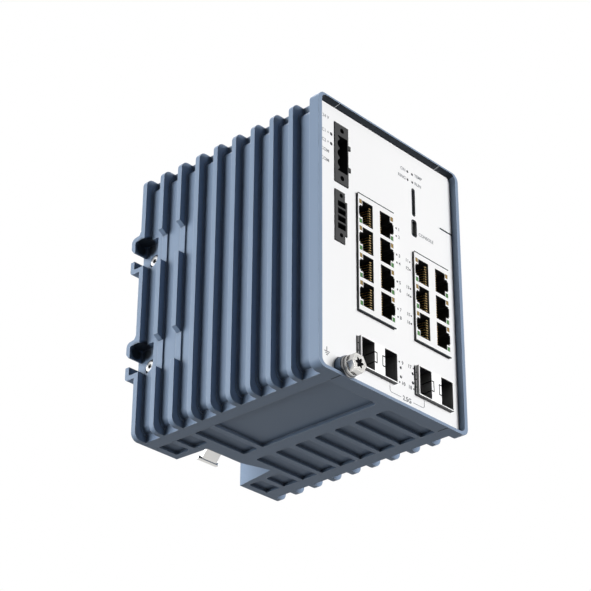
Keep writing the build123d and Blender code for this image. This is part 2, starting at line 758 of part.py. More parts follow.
def cage_pair(face):
    """Two module cages back to back on a board, with spring fingers."""
    left, right = face, face + CAGE_W
    back = CAGE_FRONT + CAGE_DEPTH
    opening_z = (CAGE_BOTTOM + CAGE_LIP, CAGE_BOTTOM + CAGE_HEIGHT - CAGE_LIP)
    inside_z = (CAGE_BOTTOM + CAGE_WALL, CAGE_BOTTOM + CAGE_HEIGHT - CAGE_WALL)
    inside_y = (CAGE_FRONT + CAGE_FACE_T, back - CAGE_BACK)
    first, second = cage_openings(face)
    cage = block((left, right), (CAGE_FRONT, back), cage_z())
    cage -= block((left + CAGE_WALL, first[1]), inside_y, inside_z)
    cage -= block((second[0], right - CAGE_WALL), inside_y, inside_z)
    cage -= block((first[1] + CAGE_WALL, second[0] - CAGE_WALL), (CAGE_FRONT + CAGE_WALL, back + 1), inside_z)
    for x in (first, second):
        cage -= block(x, (0, inside_y[0] + 1), opening_z)
    cage -= tongue_slit(first[1], 1)
    cage -= tongue_slit(second[0], -1)
    fingers = []
    finger_y = (PANEL_SETBACK - 2 * CAGE_WALL, PANEL_SETBACK - CAGE_WALL)
    for index in range(CAGE_SPRING_COUNT):
        z = CAGE_BOTTOM + CAGE_HEIGHT * (index + 0.5) / CAGE_SPRING_COUNT
        fingers.append(block((left - CAGE_SPRING + FIT, left), finger_y,
                             (z - CAGE_SPRING_H / 2, z + CAGE_SPRING_H / 2)))
    return cage + fingers


def cage_connectors(face):
    """Edge connectors at the inner end of both cages."""
    back = CAGE_FRONT + CAGE_DEPTH - CAGE_BACK
    front = back - SOCKET_DEPTH
    sockets = []
    for x in cage_openings(face):
        middle = (x[0] + x[1]) / 2
        socket = block((middle - SOCKET_W / 2, middle + SOCKET_W / 2), (front, back),
                       (cage_middle() - SOCKET_H / 2, cage_middle() + SOCKET_H / 2))
        slot = block((middle - SOCKET_SLOT_W / 2, middle + SOCKET_SLOT_W / 2),
                     (front - 1, front + SOCKET_SLOT_DEPTH),
                     (cage_middle() - SOCKET_SLOT_H / 2, cage_middle() + SOCKET_SLOT_H / 2))
        sockets.append(socket - slot)
    return group(sockets)


# Headers on the power board

def power_header_x():
    """X limits of the power header."""
    return POWER_FACE, POWER_FACE + POWER_HEADER_W


def power_lugs():
    """X and Z limits of the two lugs beside the power header."""
    right = power_header_x()[1]
    return [((right - 0.5, right + POWER_LUG_W),
             (power_z() + dz - POWER_LUG_H / 2, power_z() + dz + POWER_LUG_H / 2))
            for dz in (5.7, -5.9)]


def power_header():
    """Four-pole plug header with scalloped opening and two screw flanges."""
    x = power_header_x()
    back = HEADER_FRONT + HEADER_DEPTH
    body = block(x, (HEADER_FRONT, back), (POWER_BOTTOM, POWER_BOTTOM + POWER_HEADER_H))
    for lug_x, lug_z in power_lugs():
        body += block(lug_x, (HEADER_FRONT, HEADER_FRONT + POWER_LUG_DEPTH), lug_z)
    depth = (HEADER_FRONT - 1, HEADER_FRONT + POWER_OPENING_DEPTH)
    tall = (power_z() - POWER_OPENING_H / 2, power_z() + POWER_OPENING_H / 2)
    left = x[0] + POWER_OPENING_LEFT
    opening = block((left, x[1] - POWER_WALL), depth, tall)
    for index in range(-2, 3):
        scallop = rod_y(left + SCALLOP_SHIFT, depth, power_z() + index * POWER_PITCH, SCALLOP_R)
        opening += scallop & block(x, depth, tall)
    body -= opening
    for side in (-1, 1):
        z = power_z() + side * POWER_SCREW_SPAN / 2
        body -= rod_y(x[0] + POWER_SCREW_X, (HEADER_FRONT - 1, HEADER_FRONT + SCREW_HOLE_DEPTH), z, POWER_SCREW_R)
    return body


def power_poles():
    """Heights of the four poles of the power header."""
    return [power_z() + (index - 1.5) * POWER_PITCH for index in range(4)]


def io_header_x():
    """X limits of the input and output header."""
    return POWER_FACE, POWER_FACE + IO_HEADER_W


def io_step():
    """X and Z limits of the thicker middle of the header."""
    right = io_header_x()[1]
    return (right - 0.5, right + IO_STEP_W), (io_z() - IO_STEP_H / 2, io_z() + IO_STEP_H / 2)


def io_cells():
    """Heights of the four cells."""
    return [io_z() + IO_CELL_RISE + (index - 1.5) * IO_PITCH for index in range(4)]


def io_header():
    """Four-pole signal header with square cells and two screw holes."""
    x = io_header_x()
    back = HEADER_FRONT + HEADER_DEPTH
    body = block(x, (HEADER_FRONT, back), (IO_BOTTOM, IO_BOTTOM + IO_HEADER_H))
    body += block(io_step()[0], (HEADER_FRONT, back), io_step()[1])
    for z in io_cells():
        body -= block((x[0] + IO_CELL_X, x[0] + IO_CELL_X + IO_CELL_W), (0, HEADER_FRONT + IO_CELL_DEPTH),
                      (z - IO_CELL_H / 2, z + IO_CELL_H / 2))
    for side in (-1, 1):
        z = io_z() + IO_CELL_RISE + side * IO_SCREW_SPAN / 2
        body -= rod_y(x[0] + IO_SCREW_X, (0, HEADER_FRONT + SCREW_HOLE_DEPTH), z, IO_SCREW_R)
    return body


def header_pins(x, heights, width, floor):
    """Square pins standing on the floor of a header."""
    half = width / 2
    return group([block((x - half, x + half), (floor - PIN_LENGTH, floor), (z - half, z + half))
                  for z in heights])


# Card slot and console socket

def console_x():
    """X limits of the console opening."""
    return RIGHT_FACE + CONSOLE_FROM_BOARD, RIGHT_FACE + CONSOLE_FROM_BOARD + CONSOLE_W


def console_z():
    """Height limits of the console opening."""
    return CONSOLE_BOTTOM, CONSOLE_BOTTOM + CONSOLE_H


def card_x():
    """X limits of the card slot."""
    return RIGHT_FACE + CARD_FROM_BOARD, RIGHT_FACE + CARD_FROM_BOARD + CARD_SLOT_W


def card_z():
    """Height limits of the card slot."""
    return CARD_BOTTOM, CARD_BOTTOM + CARD_SLOT_H


def console_socket():
    """Console socket standing on the right switch board."""
    x = (console_x()[0] + FIT, console_x()[1] - FIT)
    z = (console_z()[0] + FIT, console_z()[1] - FIT)
    y = (PANEL_SETBACK + SHELL_T / 2, PANEL_SETBACK + CONSOLE_DEPTH)
    inside = (y[0] - 1, y[1] - CONSOLE_BACK)
    body = prism_y(rounded(x, z, CONSOLE_R), y)
    body -= prism_y(rounded((x[0] + SHELL_T, x[1] - SHELL_T), (z[0] + SHELL_T, z[1] - SHELL_T),
                            CONSOLE_R - SHELL_T), inside)
    middle = (x[0] + x[1]) / 2
    body += block((middle - SHELL_T, middle + SHELL_T), (y[0] + 1, inside[1] + 1),
                  (z[0] + CONSOLE_R, z[1] - CONSOLE_R))
    legs = block((RIGHT_FACE, x[0] + SHELL_T / 2), (BOARD_FRONT, y[1]), (z[0] + CONSOLE_R, z[1] - CONSOLE_R))
    return body + legs


def card_socket():
    """Memory card socket standing on the right switch board."""
    x = (RIGHT_FACE, card_x()[1] + CARD_WALL)
    y = (PANEL_BACK + CARD_WALL, PANEL_BACK + CARD_SOCKET_DEPTH)
    z = (card_z()[0] - CARD_WALL, card_z()[1] + CARD_WALL)
    body = block((x[0] + CARD_WALL, x[1]), y, z)
    body -= block(card_x(), (y[0] - 1, y[1] - CARD_BACK), card_z())
    return body + block((x[0], x[0] + CARD_WALL), (BOARD_FRONT, y[1]), z)


# Boards and what stands on them

def upright_board(face, y, z):
    """Upright board whose right face is at the given X."""
    return block((face - BOARD_T, face), y, z)


def power_board():
    """Board of the power input with its screw holes."""
    board = upright_board(POWER_FACE, (BOARD_FRONT, BOARD_REAR + 4.0), (10.0, HEIGHT - 10.5))
    for y, z in board_posts():
        board -= rod_x((POWER_FACE - 3, POWER_FACE + 1), y, z, SCREW_R + SCREW_PLAY)
    return board


def switch_board(face):
    """Switch board standing in the rails."""
    z = (FLOOR_T + 0.2, HEIGHT - FLOOR_T - 0.2)
    return upright_board(face, (BOARD_FRONT, BOARD_REAR), z)


def backplane():
    """Board across the rear that joins the three upright boards."""
    low = BLOCK_BOTTOM + 1.0
    board = block((POWER_FACE + 0.7, CHANNEL_HALF + 6.0), (BACKPLANE_Y, BACKPLANE_Y + BOARD_T),
                  (low, HEIGHT - 13.5))
    for x, z in backplane_screws():
        board -= rod_y(x, (BACKPLANE_Y - 1, BACKPLANE_Y + 3), z, SCREW_R + SCREW_PLAY)
    return board


def board_connectors():
    """Right-angle connectors between the upright boards and the backplane."""
    y = (BOARD_REAR - CONNECTOR_REACH, BACKPLANE_Y)
    z = (IO_BOTTOM - CONNECTOR_H / 2, IO_BOTTOM + CONNECTOR_H / 2)
    right = RIGHT_FACE - BOARD_T
    return group([
        block((POWER_FACE, POWER_FACE + CONNECTOR_W), y, z),
        block((LEFT_FACE, LEFT_FACE + CONNECTOR_W), y, z),
        block((right - CONNECTOR_W, right), y, z)])


def transformer():
    """Wound transformer on the power board."""
    x = (POWER_FACE, POWER_FACE + TRANSFORMER_W)
    y = (BOARD_FRONT + TRANSFORMER_Y, BOARD_FRONT + TRANSFORMER_Y + TRANSFORMER_SIDE)
    z = (power_z() - TRANSFORMER_SIDE / 2, power_z() + TRANSFORMER_SIDE / 2)
    core = block(x, y, z)
    wall = TRANSFORMER_SIDE / 5
    return core - block((x[0] + wall / 2, x[1] + 1), (y[0] + wall, y[1] - wall), (z[0] + wall, z[1] - wall))


def capacitors():
    """Round capacitors on the power board."""
    x = (POWER_FACE, POWER_FACE + CAPACITOR_L)
    front = BOARD_FRONT + TRANSFORMER_Y + CAPACITOR_R
    rear = front + TRANSFORMER_SIDE + CAPACITOR_R
    low = power_z() - TRANSFORMER_SIDE - CAPACITOR_R
    places = [(rear, power_z()), (rear, power_z() - 3 * CAPACITOR_R), (front, low)]
    return group([rod_x(x, y, z, CAPACITOR_R) for y, z in places])


def switch_chips():
    """Large chips of both switch boards, between the jacks and the rear connectors."""
    middle = (JACK_FRONT + JACK_DEPTH + BOARD_REAR - CONNECTOR_REACH) / 2
    y = (middle - CHIP_SIDE / 2, middle + CHIP_SIDE / 2)
    z = (LOWEST_PORT + PORT_PITCH, LOWEST_PORT + PORT_PITCH + CHIP_SIDE)
    return group([block((face, face + CHIP_T), y, z) for face in (LEFT_FACE, RIGHT_FACE)])


# Screws

def pan_screw(length):
    """Pan-head screw along Z with a socket in its head, head face up."""
    head = Pos(0, 0, SCREW_HEAD_T / 2) * Cylinder(SCREW_HEAD_R, SCREW_HEAD_T)
    head = fillet(head.edges().sort_by(Axis.Z)[-1], 0.7)
    shank = Pos(0, 0, -length / 2) * Cylinder(SCREW_R, length)
    socket = Pos(0, 0, SCREW_HEAD_T) * extrude(star(1.3, 0.95), -1.0)
    return head + shank - socket


def star(outer, inner):
    """Flat six-pointed drive outline."""
    points = [Vector((outer, inner)[index % 2], 0).rotate(Axis.Z, index * 30) for index in range(12)]
    return polygon([(point.X, point.Y) for point in points])


def turned(screw, place, way):
    """Screw with its head facing one way at a place."""
    turns = {"left": Rot(0, -90, 0), "right": Rot(0, 90, 0), "rear": Rot(-90, 0, 0), "front": Rot(90, 0, 0)}
    return Pos(*place) * turns[way] * screw


def ear_screws(side):
    """Two cover screws in the ear pockets of one side."""
    seat = WIDTH / 2 - EAR_W - 0.8
    screw = pan_screw(seat - HOUSING_X + POST_W - 1.5)
    way = "left" if side < 0 else "right"
    return group([turned(screw, (side * seat, EAR_SCREW_Y, z), way) for z in EAR_HEIGHTS])


def ground_screw():
    """Hex-head ground screw with flange and socket."""
    seat = -WASHER_T - SPRING_WASHER_T
    flange_face = seat - FLANGE_T
    screw = rod_y(GROUND_X, (flange_face, seat), GROUND_Z, FLANGE_R)
    head = prism_y(RegularPolygon(HEAD_AF / 2, 6, major_radius=False), (flange_face - HEAD_T, flange_face))
    screw += Pos(GROUND_X, 0, GROUND_Z) * head
    screw += rod_y(GROUND_X, (seat, GROUND_BOSS_DEPTH - 4.0), GROUND_Z, GROUND_SHANK_R)
    drive = (flange_face - HEAD_T - 1, flange_face - HEAD_T + GROUND_DRIVE_DEPTH)
    socket = prism_y(star(GROUND_DRIVE_R, GROUND_DRIVE_R * 0.72), drive)
    return screw - Pos(GROUND_X, 0, GROUND_Z) * socket


def ground_spring_washer():
    """Split washer."""
    y = (-WASHER_T - SPRING_WASHER_T, -WASHER_T)
    ring = rod_y(GROUND_X, y, GROUND_Z, SPRING_WASHER_R) - rod_y(GROUND_X, y, GROUND_Z, GROUND_SHANK_R + 0.1)
    split = block((GROUND_X, GROUND_X + 2 * SPRING_WASHER_R), y,
                  (GROUND_Z - WASHER_SPLIT / 2, GROUND_Z + WASHER_SPLIT / 2))
    return ring - split


def ground_flat_washer():
    """Flat washer on the boss."""
    y = (-WASHER_T, 0)
    return rod_y(GROUND_X, y, GROUND_Z, WASHER_R) - rod_y(GROUND_X, y, GROUND_Z, GROUND_SHANK_R + 0.1)


# Rail clip

def hook(x, root, tip, behind, heights):
    """Hook of bent sheet that reaches behind the lip of the rail."""
    low, high = sorted(heights)
    upward = heights[1] > heights[0]
    arm = (low - SHEET, low) if upward else (high, high + SHEET)
    whole = (arm[0], high) if upward else (low, arm[1])
    return block(x, (root, tip), arm) + block(x, (behind, tip), whole)


def clip_plate():
    """Fixed plate of the rail clip with two upper hooks and side guides."""
    y = (CHANNEL_Y, CHANNEL_Y + SHEET)
    plate = block((-CLIP_HALF, CLIP_HALF), y, (CLIP_BOTTOM, CLIP_TOP))
    behind = DEPTH + RAIL_LIP + 2 * RAIL_PLAY
    top = RAIL_BOTTOM + RAIL_HEIGHT + RAIL_PLAY
    for side in (-1, 1):
        x = sorted((side * 7.0, side * 14.0))
        plate += hook(x, y[0], behind + SHEET, behind, (top, top - HOOK_OVERLAP))
        flange = sorted((side * (LATCH_HALF + LATCH_FIT), side * (LATCH_HALF + LATCH_FIT + SHEET)))
        lip = sorted((side * (LATCH_HALF - 1.8), side * (LATCH_HALF + LATCH_FIT + SHEET)))
        lip_y = y[1] + LATCH_SHEET + 2 * LATCH_FIT
        guide = (CLIP_BOTTOM + 3.0, RAIL_BOTTOM - 4.0)
        plate += block(flange, (y[0], lip_y + 1.2), guide)
        plate += block(lip, (lip_y, lip_y + 1.2), guide)
    window = (SPRING_BOTTOM, SPRING_BOTTOM + SPRING_LENGTH + 1.0)
    plate -= block((-spring_half(), spring_half()), (y[0] - 1, y[1] + 1), window)
    for x, z in clip_screws_at():
        plate -= rod_y(x, (y[0] - 1, y[1] + 1), z, SCREW_R + SCREW_PLAY)
    return plate


def spring_half():
    """Half width of the windows that hold the spring."""
    return SPRING_R + SPRING_WIRE_R + 0.3


def latch_y():
    """Y limits of the sheet of the latch."""
    front = CHANNEL_Y + SHEET + LATCH_FIT
    return front, front + LATCH_SHEET


def latch():
    """Sliding latch with lower hook, stem and pull foot."""
    y = latch_y()
    top = RAIL_BOTTOM - RAIL_PLAY
    behind = DEPTH + RAIL_LIP + 2 * RAIL_PLAY
    sheet = block((-LATCH_HALF, LATCH_HALF), y, (LATCH_BOTTOM, top))
    sheet += hook((-LATCH_HALF + 2.5, LATCH_HALF - 2.5), y[0], behind + SHEET, behind,
                  (top, top + HOOK_OVERLAP))
    bend = FOOT_Z + 4.2
    sheet += block((-STEM_HALF, STEM_HALF), y, (bend, LATCH_BOTTOM + 1))
    foot_y = (y[0] + 3.8, y[1] + 4.4)
    neck = polygon([(y[0], bend + 0.8), (y[1], bend + 0.8), (foot_y[1] - 0.2, FOOT_Z + 0.6),
                    (foot_y[1] - 1.6, FOOT_Z + 0.1)])
    sheet += prism_x(neck, (-STEM_HALF, STEM_HALF))
    foot = rounded((-FOOT_HALF, FOOT_HALF), foot_y, 0.8)
    sheet += prism_z(foot, (FOOT_Z, FOOT_Z + FOOT_T))
    window = (SPRING_BOTTOM - 0.5, SPRING_BOTTOM + SPRING_LENGTH)
    return sheet - block((-spring_half(), spring_half()), (y[0] - 1, y[1] + 1), window)


def latch_spring():
    """Coil spring between plate and latch."""
    turn = SPRING_LENGTH - 2 * SPRING_WIRE_R - 0.04
    path = Helix(turn / SPRING_TURNS, turn, SPRING_R)
    wire = sweep(Plane(path @ 0, z_dir=path % 0) * Circle(SPRING_WIRE_R), path)
    y = (CHANNEL_Y + SHEET + LATCH_FIT / 2) + 0.8
    return Pos(0, y, SPRING_BOTTOM + SPRING_WIRE_R + 0.02) * wire


# Write every piece
os.makedirs("parts", exist_ok=True)
save("middle_housing", middle_housing())
save("left_cover", left_cover())
save("right_cover", mirror(plain_cover(), Plane.YZ))
save("front_panel", front_panel())
save("left_cover_screws", ear_screws(-1))
save("right_cover_screws", ear_screws(1))
save("ground_screw", ground_screw())
save("ground_spring_washer", ground_spring_washer())
save("ground_flat_washer", ground_flat_washer())
save("power_header", power_header())
save("power_header_pins", header_pins(
    POWER_FACE + POWER_PIN_X, power_poles(), POWER_PIN_W, HEADER_FRONT + POWER_OPENING_DEPTH))
save("io_header", io_header())
save("io_header_pins", header_pins(
    POWER_FACE + IO_PIN_X, io_cells(), IO_PIN_W, HEADER_FRONT + IO_CELL_DEPTH))
jack_block("eight_jack", LEFT_FACE, 4)
jack_block("six_jack", RIGHT_FACE, 3)
save("left_module_cages", cage_pair(LEFT_FACE))
save("right_module_cages", cage_pair(RIGHT_FACE))
save("left_module_connectors", cage_connectors(LEFT_FACE))
save("right_module_connectors", cage_connectors(RIGHT_FACE))
save("memory_card_socket", card_socket())
save("console_socket", console_socket())
for light_group, light_places in lights_at().items():
    save(f"{light_group}_light_pipes", light_pipes(light_places, light_radii()[light_group]))
save("power_board", power_board())
save("left_switch_board", switch_board(LEFT_FACE))
save("right_switch_board", switch_board(RIGHT_FACE))
save("backplane_board", backplane())
save("board_connectors", board_connectors())
save("transformer", transformer())
save("capacitors", capacitors())
save("switch_chips", switch_chips())
save("power_board_screws", group(
    [turned(pan_screw(7.0), (POWER_FACE, y, z), "right") for y, z in board_posts()]))
save("backplane_screws", group(
    [turned(pan_screw(9.0), (x, BACKPLANE_Y, z), "front") for x, z in backplane_screws()]))
save("rail_clip_plate", clip_plate())
save("rail_latch", latch())
save("latch_spring", latch_spring())
save("clip_plate_screws", group(
    [turned(pan_screw(6.5), (x, CHANNEL_Y + SHEET, z), "rear") for x, z in clip_screws_at()]))
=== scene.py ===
# %% [markdown]
# # Dressing a rail-mounted network switch
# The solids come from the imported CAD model. This lesson keeps every solid, since
# the shapes are right, and gives each surface its own finish. Then it adds the
# thin things that CAD leaves out, such as the print on the front panel.
#
# All positions are in the frame of the CAD model: x to the right, y to the back
# and z up. Blender works in metres, so lengths in millimetres are multiplied by MM.

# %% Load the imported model
import json
import math

import bpy
from mathutils import Matrix, Vector


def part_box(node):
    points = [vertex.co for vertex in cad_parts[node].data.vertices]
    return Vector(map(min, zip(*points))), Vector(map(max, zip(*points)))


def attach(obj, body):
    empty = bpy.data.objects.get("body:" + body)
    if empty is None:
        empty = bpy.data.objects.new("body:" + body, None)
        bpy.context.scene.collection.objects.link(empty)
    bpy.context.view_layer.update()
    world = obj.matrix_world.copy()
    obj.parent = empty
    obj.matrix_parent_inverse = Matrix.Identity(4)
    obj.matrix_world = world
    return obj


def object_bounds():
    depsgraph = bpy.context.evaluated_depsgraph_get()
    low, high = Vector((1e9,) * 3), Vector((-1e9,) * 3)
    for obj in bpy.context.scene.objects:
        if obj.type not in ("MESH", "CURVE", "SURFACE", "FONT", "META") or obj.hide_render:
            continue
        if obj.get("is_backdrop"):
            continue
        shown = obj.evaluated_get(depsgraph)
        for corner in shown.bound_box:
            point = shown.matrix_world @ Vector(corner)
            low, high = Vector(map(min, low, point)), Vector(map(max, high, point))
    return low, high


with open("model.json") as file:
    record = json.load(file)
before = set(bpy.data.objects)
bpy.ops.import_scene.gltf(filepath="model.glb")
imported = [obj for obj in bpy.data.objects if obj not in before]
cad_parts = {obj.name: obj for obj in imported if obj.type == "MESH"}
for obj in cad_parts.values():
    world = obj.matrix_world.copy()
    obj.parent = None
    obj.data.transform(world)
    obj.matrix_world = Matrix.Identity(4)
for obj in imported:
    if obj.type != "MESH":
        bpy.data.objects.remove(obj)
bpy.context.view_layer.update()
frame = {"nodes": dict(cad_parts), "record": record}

MM = 0.001
nodes = frame["nodes"]

# %% [markdown]
# The camera stands low, in front of the left side, and looks up. Its place was
# worked out from the straight edges and the evenly spaced fins of the case. A
# long lens far away keeps the lines nearly parallel, as in a catalogue picture.
# Three angles give its direction, and three vectors made from them fill the
# columns of its matrix. The Standard view shows the colours as they are set.

# %% Place the camera
IMAGE_SIDE = 591
FOCAL_PIXELS = 1910.49
SENSOR = 36.0
EYE = Vector((-577.27, -535.43, -355.59)) * MM
azimuth, elevation, roll = (math.radians(a) for a in (47.006, 28.593, 0.349))
look = Vector((math.sin(azimuth) * math.cos(elevation),
               math.cos(azimuth) * math.cos(elevation), math.sin(elevation)))
level = Vector((math.cos(azimuth), -math.sin(azimuth), 0))
rise = level.cross(look)
right = level * math.cos(roll) + rise * math.sin(roll)
up = rise * math.cos(roll) - level * math.sin(roll)
camera_data = bpy.data.cameras.new("camera")
camera_data.sensor_width = SENSOR
camera_data.lens = FOCAL_PIXELS / IMAGE_SIDE * SENSOR
camera = bpy.data.objects.new("camera", camera_data)
camera.matrix_world = Matrix((
    (right.x, up.x, -look.x, EYE.x), (right.y, up.y, -look.y, EYE.y),
    (right.z, up.z, -look.z, EYE.z), (0, 0, 0, 1)))
bpy.context.collection.objects.link(camera)
bpy.context.scene.camera = camera
bpy.context.scene.view_settings.view_transform = "Standard"
print("lens in mm:", round(camera_data.lens, 2))

# %% [markdown]
# Two small helpers come first. A node tree needs many nodes whose settings are
# known when they are made, and flat pieces need a mesh from corners and faces.

# %% Helpers for nodes and flat meshes


def add_node(tree, kind, **settings):
    """New node with some of its settings."""
    made = tree.nodes.new(kind)
    for key, value in settings.items():
        setattr(made, key, value)
    return made


def plain_mesh(name, corners, faces):
    """Object from a list of corners and faces."""
    mesh = bpy.data.meshes.new(name)
    mesh.from_pydata(corners, [], faces)
    made = bpy.data.objects.new(name, mesh)
    bpy.context.collection.objects.link(made)
    return made


print("two helpers ready")

# %% [markdown]
# The switch floats over a wide floor, with no stand. To the camera and in
# reflections the floor is a pale, even grey: most of it is an emission, and the
# rest is a plain shader that keeps a little of the shadow. To the dull light
# that bounces between surfaces it is nearly black, so that it doesn't brighten
# the underside of the case. Light Path tells the two kinds of ray apart.

# %% Floor
FLOOR_Z = -0.62
FLOOR_REACH = 6.0
FLOOR_PAINT = 0.86
FLOOR_ROUGHNESS = 0.8
FLOOR_TONE = 0.95
FLOOR_EVENNESS = 0.8
FLOOR_BOUNCE = 0.07


def grey(value):
    """Colour with the same share of red, green and blue."""
    return (value, value, value, 1)


def studio_floor():
    """Wide floor that looks pale and lights the object only a little."""
    corners = [(x * FLOOR_REACH, y * FLOOR_REACH, FLOOR_Z)
               for x, y in ((-1, -1), (1, -1), (1, 1), (-1, 1))]
    floor = plain_mesh("studio_floor", corners, [(0, 1, 2, 3)])
    paint = bpy.data.materials.new("studio_floor")
    paint.use_nodes = True
    tree = paint.node_tree
    shader = tree.nodes["Principled BSDF"]
    shader.inputs["Base Color"].default_value = grey(FLOOR_PAINT)
    shader.inputs["Roughness"].default_value = FLOOR_ROUGHNESS
    glow = add_node(tree, "ShaderNodeEmission")
    glow.inputs["Color"].default_value = grey(FLOOR_TONE)
    pale = add_node(tree, "ShaderNodeMixShader")
    pale.inputs["Fac"].default_value = FLOOR_EVENNESS
    tree.links.new(shader.outputs["BSDF"], pale.inputs[1])
    tree.links.new(glow.outputs["Emission"], pale.inputs[2])
    dull = add_node(tree, "ShaderNodeBsdfDiffuse")
    dull.inputs["Color"].default_value = grey(FLOOR_BOUNCE)
    path = add_node(tree, "ShaderNodeLightPath")
    mix = add_node(tree, "ShaderNodeMixShader")
    tree.links.new(path.outputs["Is Diffuse Ray"], mix.inputs["Fac"])
    tree.links.new(pale.outputs["Shader"], mix.inputs[1])
    tree.links.new(dull.outputs["BSDF"], mix.inputs[2])
    tree.links.new(mix.outputs[0], tree.nodes["Material Output"].inputs["Surface"])
    floor.data.materials.append(paint)
    floor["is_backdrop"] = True


studio_floor()
print("floor at", FLOOR_Z, "m")

# %% [markdown]
# The surround works the same way. The camera, mirror-like surfaces and clear
# ones see plain white, which is also the background of the picture. As a light
# it is very dim and a little blue, so the lamps alone shape the fins.

# %% Surround
SURROUND_LIGHT = 0.02
SURROUND_TINT = (0.90, 0.95, 1, 1)


def studio_world():
    """White where the camera and mirrors look, dim as a light."""
    world = bpy.data.worlds.new("studio")
    bpy.context.scene.world = world
    world.use_nodes = True
    tree = world.node_tree
    tree.nodes.clear()
    seen = add_node(tree, "ShaderNodeBackground")
    seen.inputs["Color"].default_value = grey(1)
    seen.inputs["Strength"].default_value = 1.0
    unseen = add_node(tree, "ShaderNodeBackground")
    unseen.inputs["Color"].default_value = SURROUND_TINT
    unseen.inputs["Strength"].default_value = SURROUND_LIGHT
    path = add_node(tree, "ShaderNodeLightPath")
    looks = path.outputs["Is Camera Ray"]
    for ray in ("Is Glossy Ray", "Is Transmission Ray"):
        either = add_node(tree, "ShaderNodeMath", operation="MAXIMUM")
        tree.links.new(looks, either.inputs[0])
        tree.links.new(path.outputs[ray], either.inputs[1])
        looks = either.outputs[0]
    mix = add_node(tree, "ShaderNodeMixShader")
    tree.links.new(looks, mix.inputs["Fac"])
    tree.links.new(unseen.outputs[0], mix.inputs[1])
    tree.links.new(seen.outputs[0], mix.inputs[2])
    surround = add_node(tree, "ShaderNodeOutputWorld")
    tree.links.new(mix.outputs[0], surround.inputs["Surface"])


studio_world()
print("surround as a light:", SURROUND_LIGHT)

# %% [markdown]
# Five large soft lamps light the switch. The front one stands a little to the
# right, so the walls between the fins stay dark. The side lamp stands to the
# left and behind, and draws the fins' outer faces. A weak one below keeps the
# underside readable. The top and right lamps serve the sides that the picture
# doesn't show. A lamp's light thins out with the square of its distance, so the
# helper works out its power from the brightness that a white surface should get.

# %% Soft lamps
AIM = Vector((0, 0, 0.07))


def softbox(name, towards, distance, side, brightness, tint=(1, 1, 1)):
    """Square lamp that gives a white surface facing it about this brightness."""
    lamp = bpy.data.lights.new(name, "AREA")
    lamp.shape = "SQUARE"
    lamp.size = side
    lamp.energy = brightness * math.pi ** 2 * distance ** 2
    lamp.color = tint
    made = bpy.data.objects.new(name, lamp)
    way = Vector(towards).normalized()
    made.location = AIM + way * distance
    made.rotation_euler = way.to_track_quat("Z", "Y").to_euler()
    made.visible_camera = False
    bpy.context.collection.objects.link(made)
    return made


softbox("front_lamp", (0.42, -1.0, 0.12), distance=2.2, side=1.0, brightness=1.0)
softbox("side_lamp", (-1.0, 0.75, 0.15), distance=2.2, side=2.0, brightness=1.5,
        tint=(0.97, 0.99, 1.0))
softbox("under_lamp", (0.0, 0.25, -1.0), distance=0.6, side=0.6, brightness=0.03,
        tint=(0.93, 0.96, 1.0))
softbox("top_lamp", (0.15, 0.35, 1.0), distance=2.0, side=1.2, brightness=0.55)
softbox("right_lamp", (1.0, 0.25, 0.15), distance=2.2, side=1.2, brightness=0.5)

# %% [markdown]
# No real surface has one even colour. In narrow grooves shade is also painted
# into the colour, so they are darker than open faces. The Ambient Occlusion node
# tells how closed in a point is, and a power of it sets how fast the colour falls off.

# %% Painted shade in hollows
HOLLOW_SAMPLES = 8


def darker_hollows(tree, shade, strength, depth):
    """Paint shade into narrow grooves and inner corners, darker than open faces."""
    near = add_node(tree, "ShaderNodeAmbientOcclusion", samples=HOLLOW_SAMPLES)
    near.inputs["Distance"].default_value = depth
    curve = add_node(tree, "ShaderNodeMath", operation="POWER")
    curve.inputs[1].default_value = strength
    tree.links.new(near.outputs["AO"], curve.inputs[0])
    deep = add_node(tree, "ShaderNodeVectorMath", operation="SCALE")
    tree.links.new(shade.outputs["Vector"], deep.inputs[0])
    tree.links.new(curve.outputs[0], deep.inputs["Scale"])
    return deep


print("samples for hollows:", HOLLOW_SAMPLES)

# %% [markdown]
# Cast and moulded edges are never sharp. A Bevel node bends the normals near
# each edge, so that it catches light as the real one does. Where the bent normal
# leaves the true one, there is an edge, and a paler colour is painted there as a
# highlight.

# %% Painted highlights on edges
EDGE_BEGINS = 0.995
EDGE_FULL = 0.80


def paler_edges(tree, soft, shade, wear, worn):
    """Paint a paler highlight colour into a shade near the edges that a Bevel node finds."""
    flat = add_node(tree, "ShaderNodeNewGeometry")
    turned = add_node(tree, "ShaderNodeVectorMath", operation="DOT_PRODUCT")
    tree.links.new(soft.outputs["Normal"], turned.inputs[0])
    tree.links.new(flat.outputs["Normal"], turned.inputs[1])
    amount = add_node(tree, "ShaderNodeMapRange")
    amount.inputs["From Min"].default_value = EDGE_BEGINS
    amount.inputs["From Max"].default_value = EDGE_FULL
    amount.inputs["To Max"].default_value = wear
    tree.links.new(turned.outputs["Value"], amount.inputs["Value"])
    mix = add_node(tree, "ShaderNodeMix", data_type="RGBA")
    mix.inputs["B"].default_value = (*worn, 1)
    tree.links.new(amount.outputs["Result"], mix.inputs["Factor"])
    tree.links.new(shade.outputs["Vector"], mix.inputs["A"])
    return mix


print("edges are palest where the normals' product is", EDGE_FULL)

# %% [markdown]
# Even a good coat of paint drifts a little in tone from place to place. A coarse
# noise, read in the object's own coordinates, scales the colour up and down. An
# image texture could do this too, but a noise needs no file and no unwrapping.

# %% Drifting colour
PATCH_SIZE = 30
PATCH_DETAIL = 4


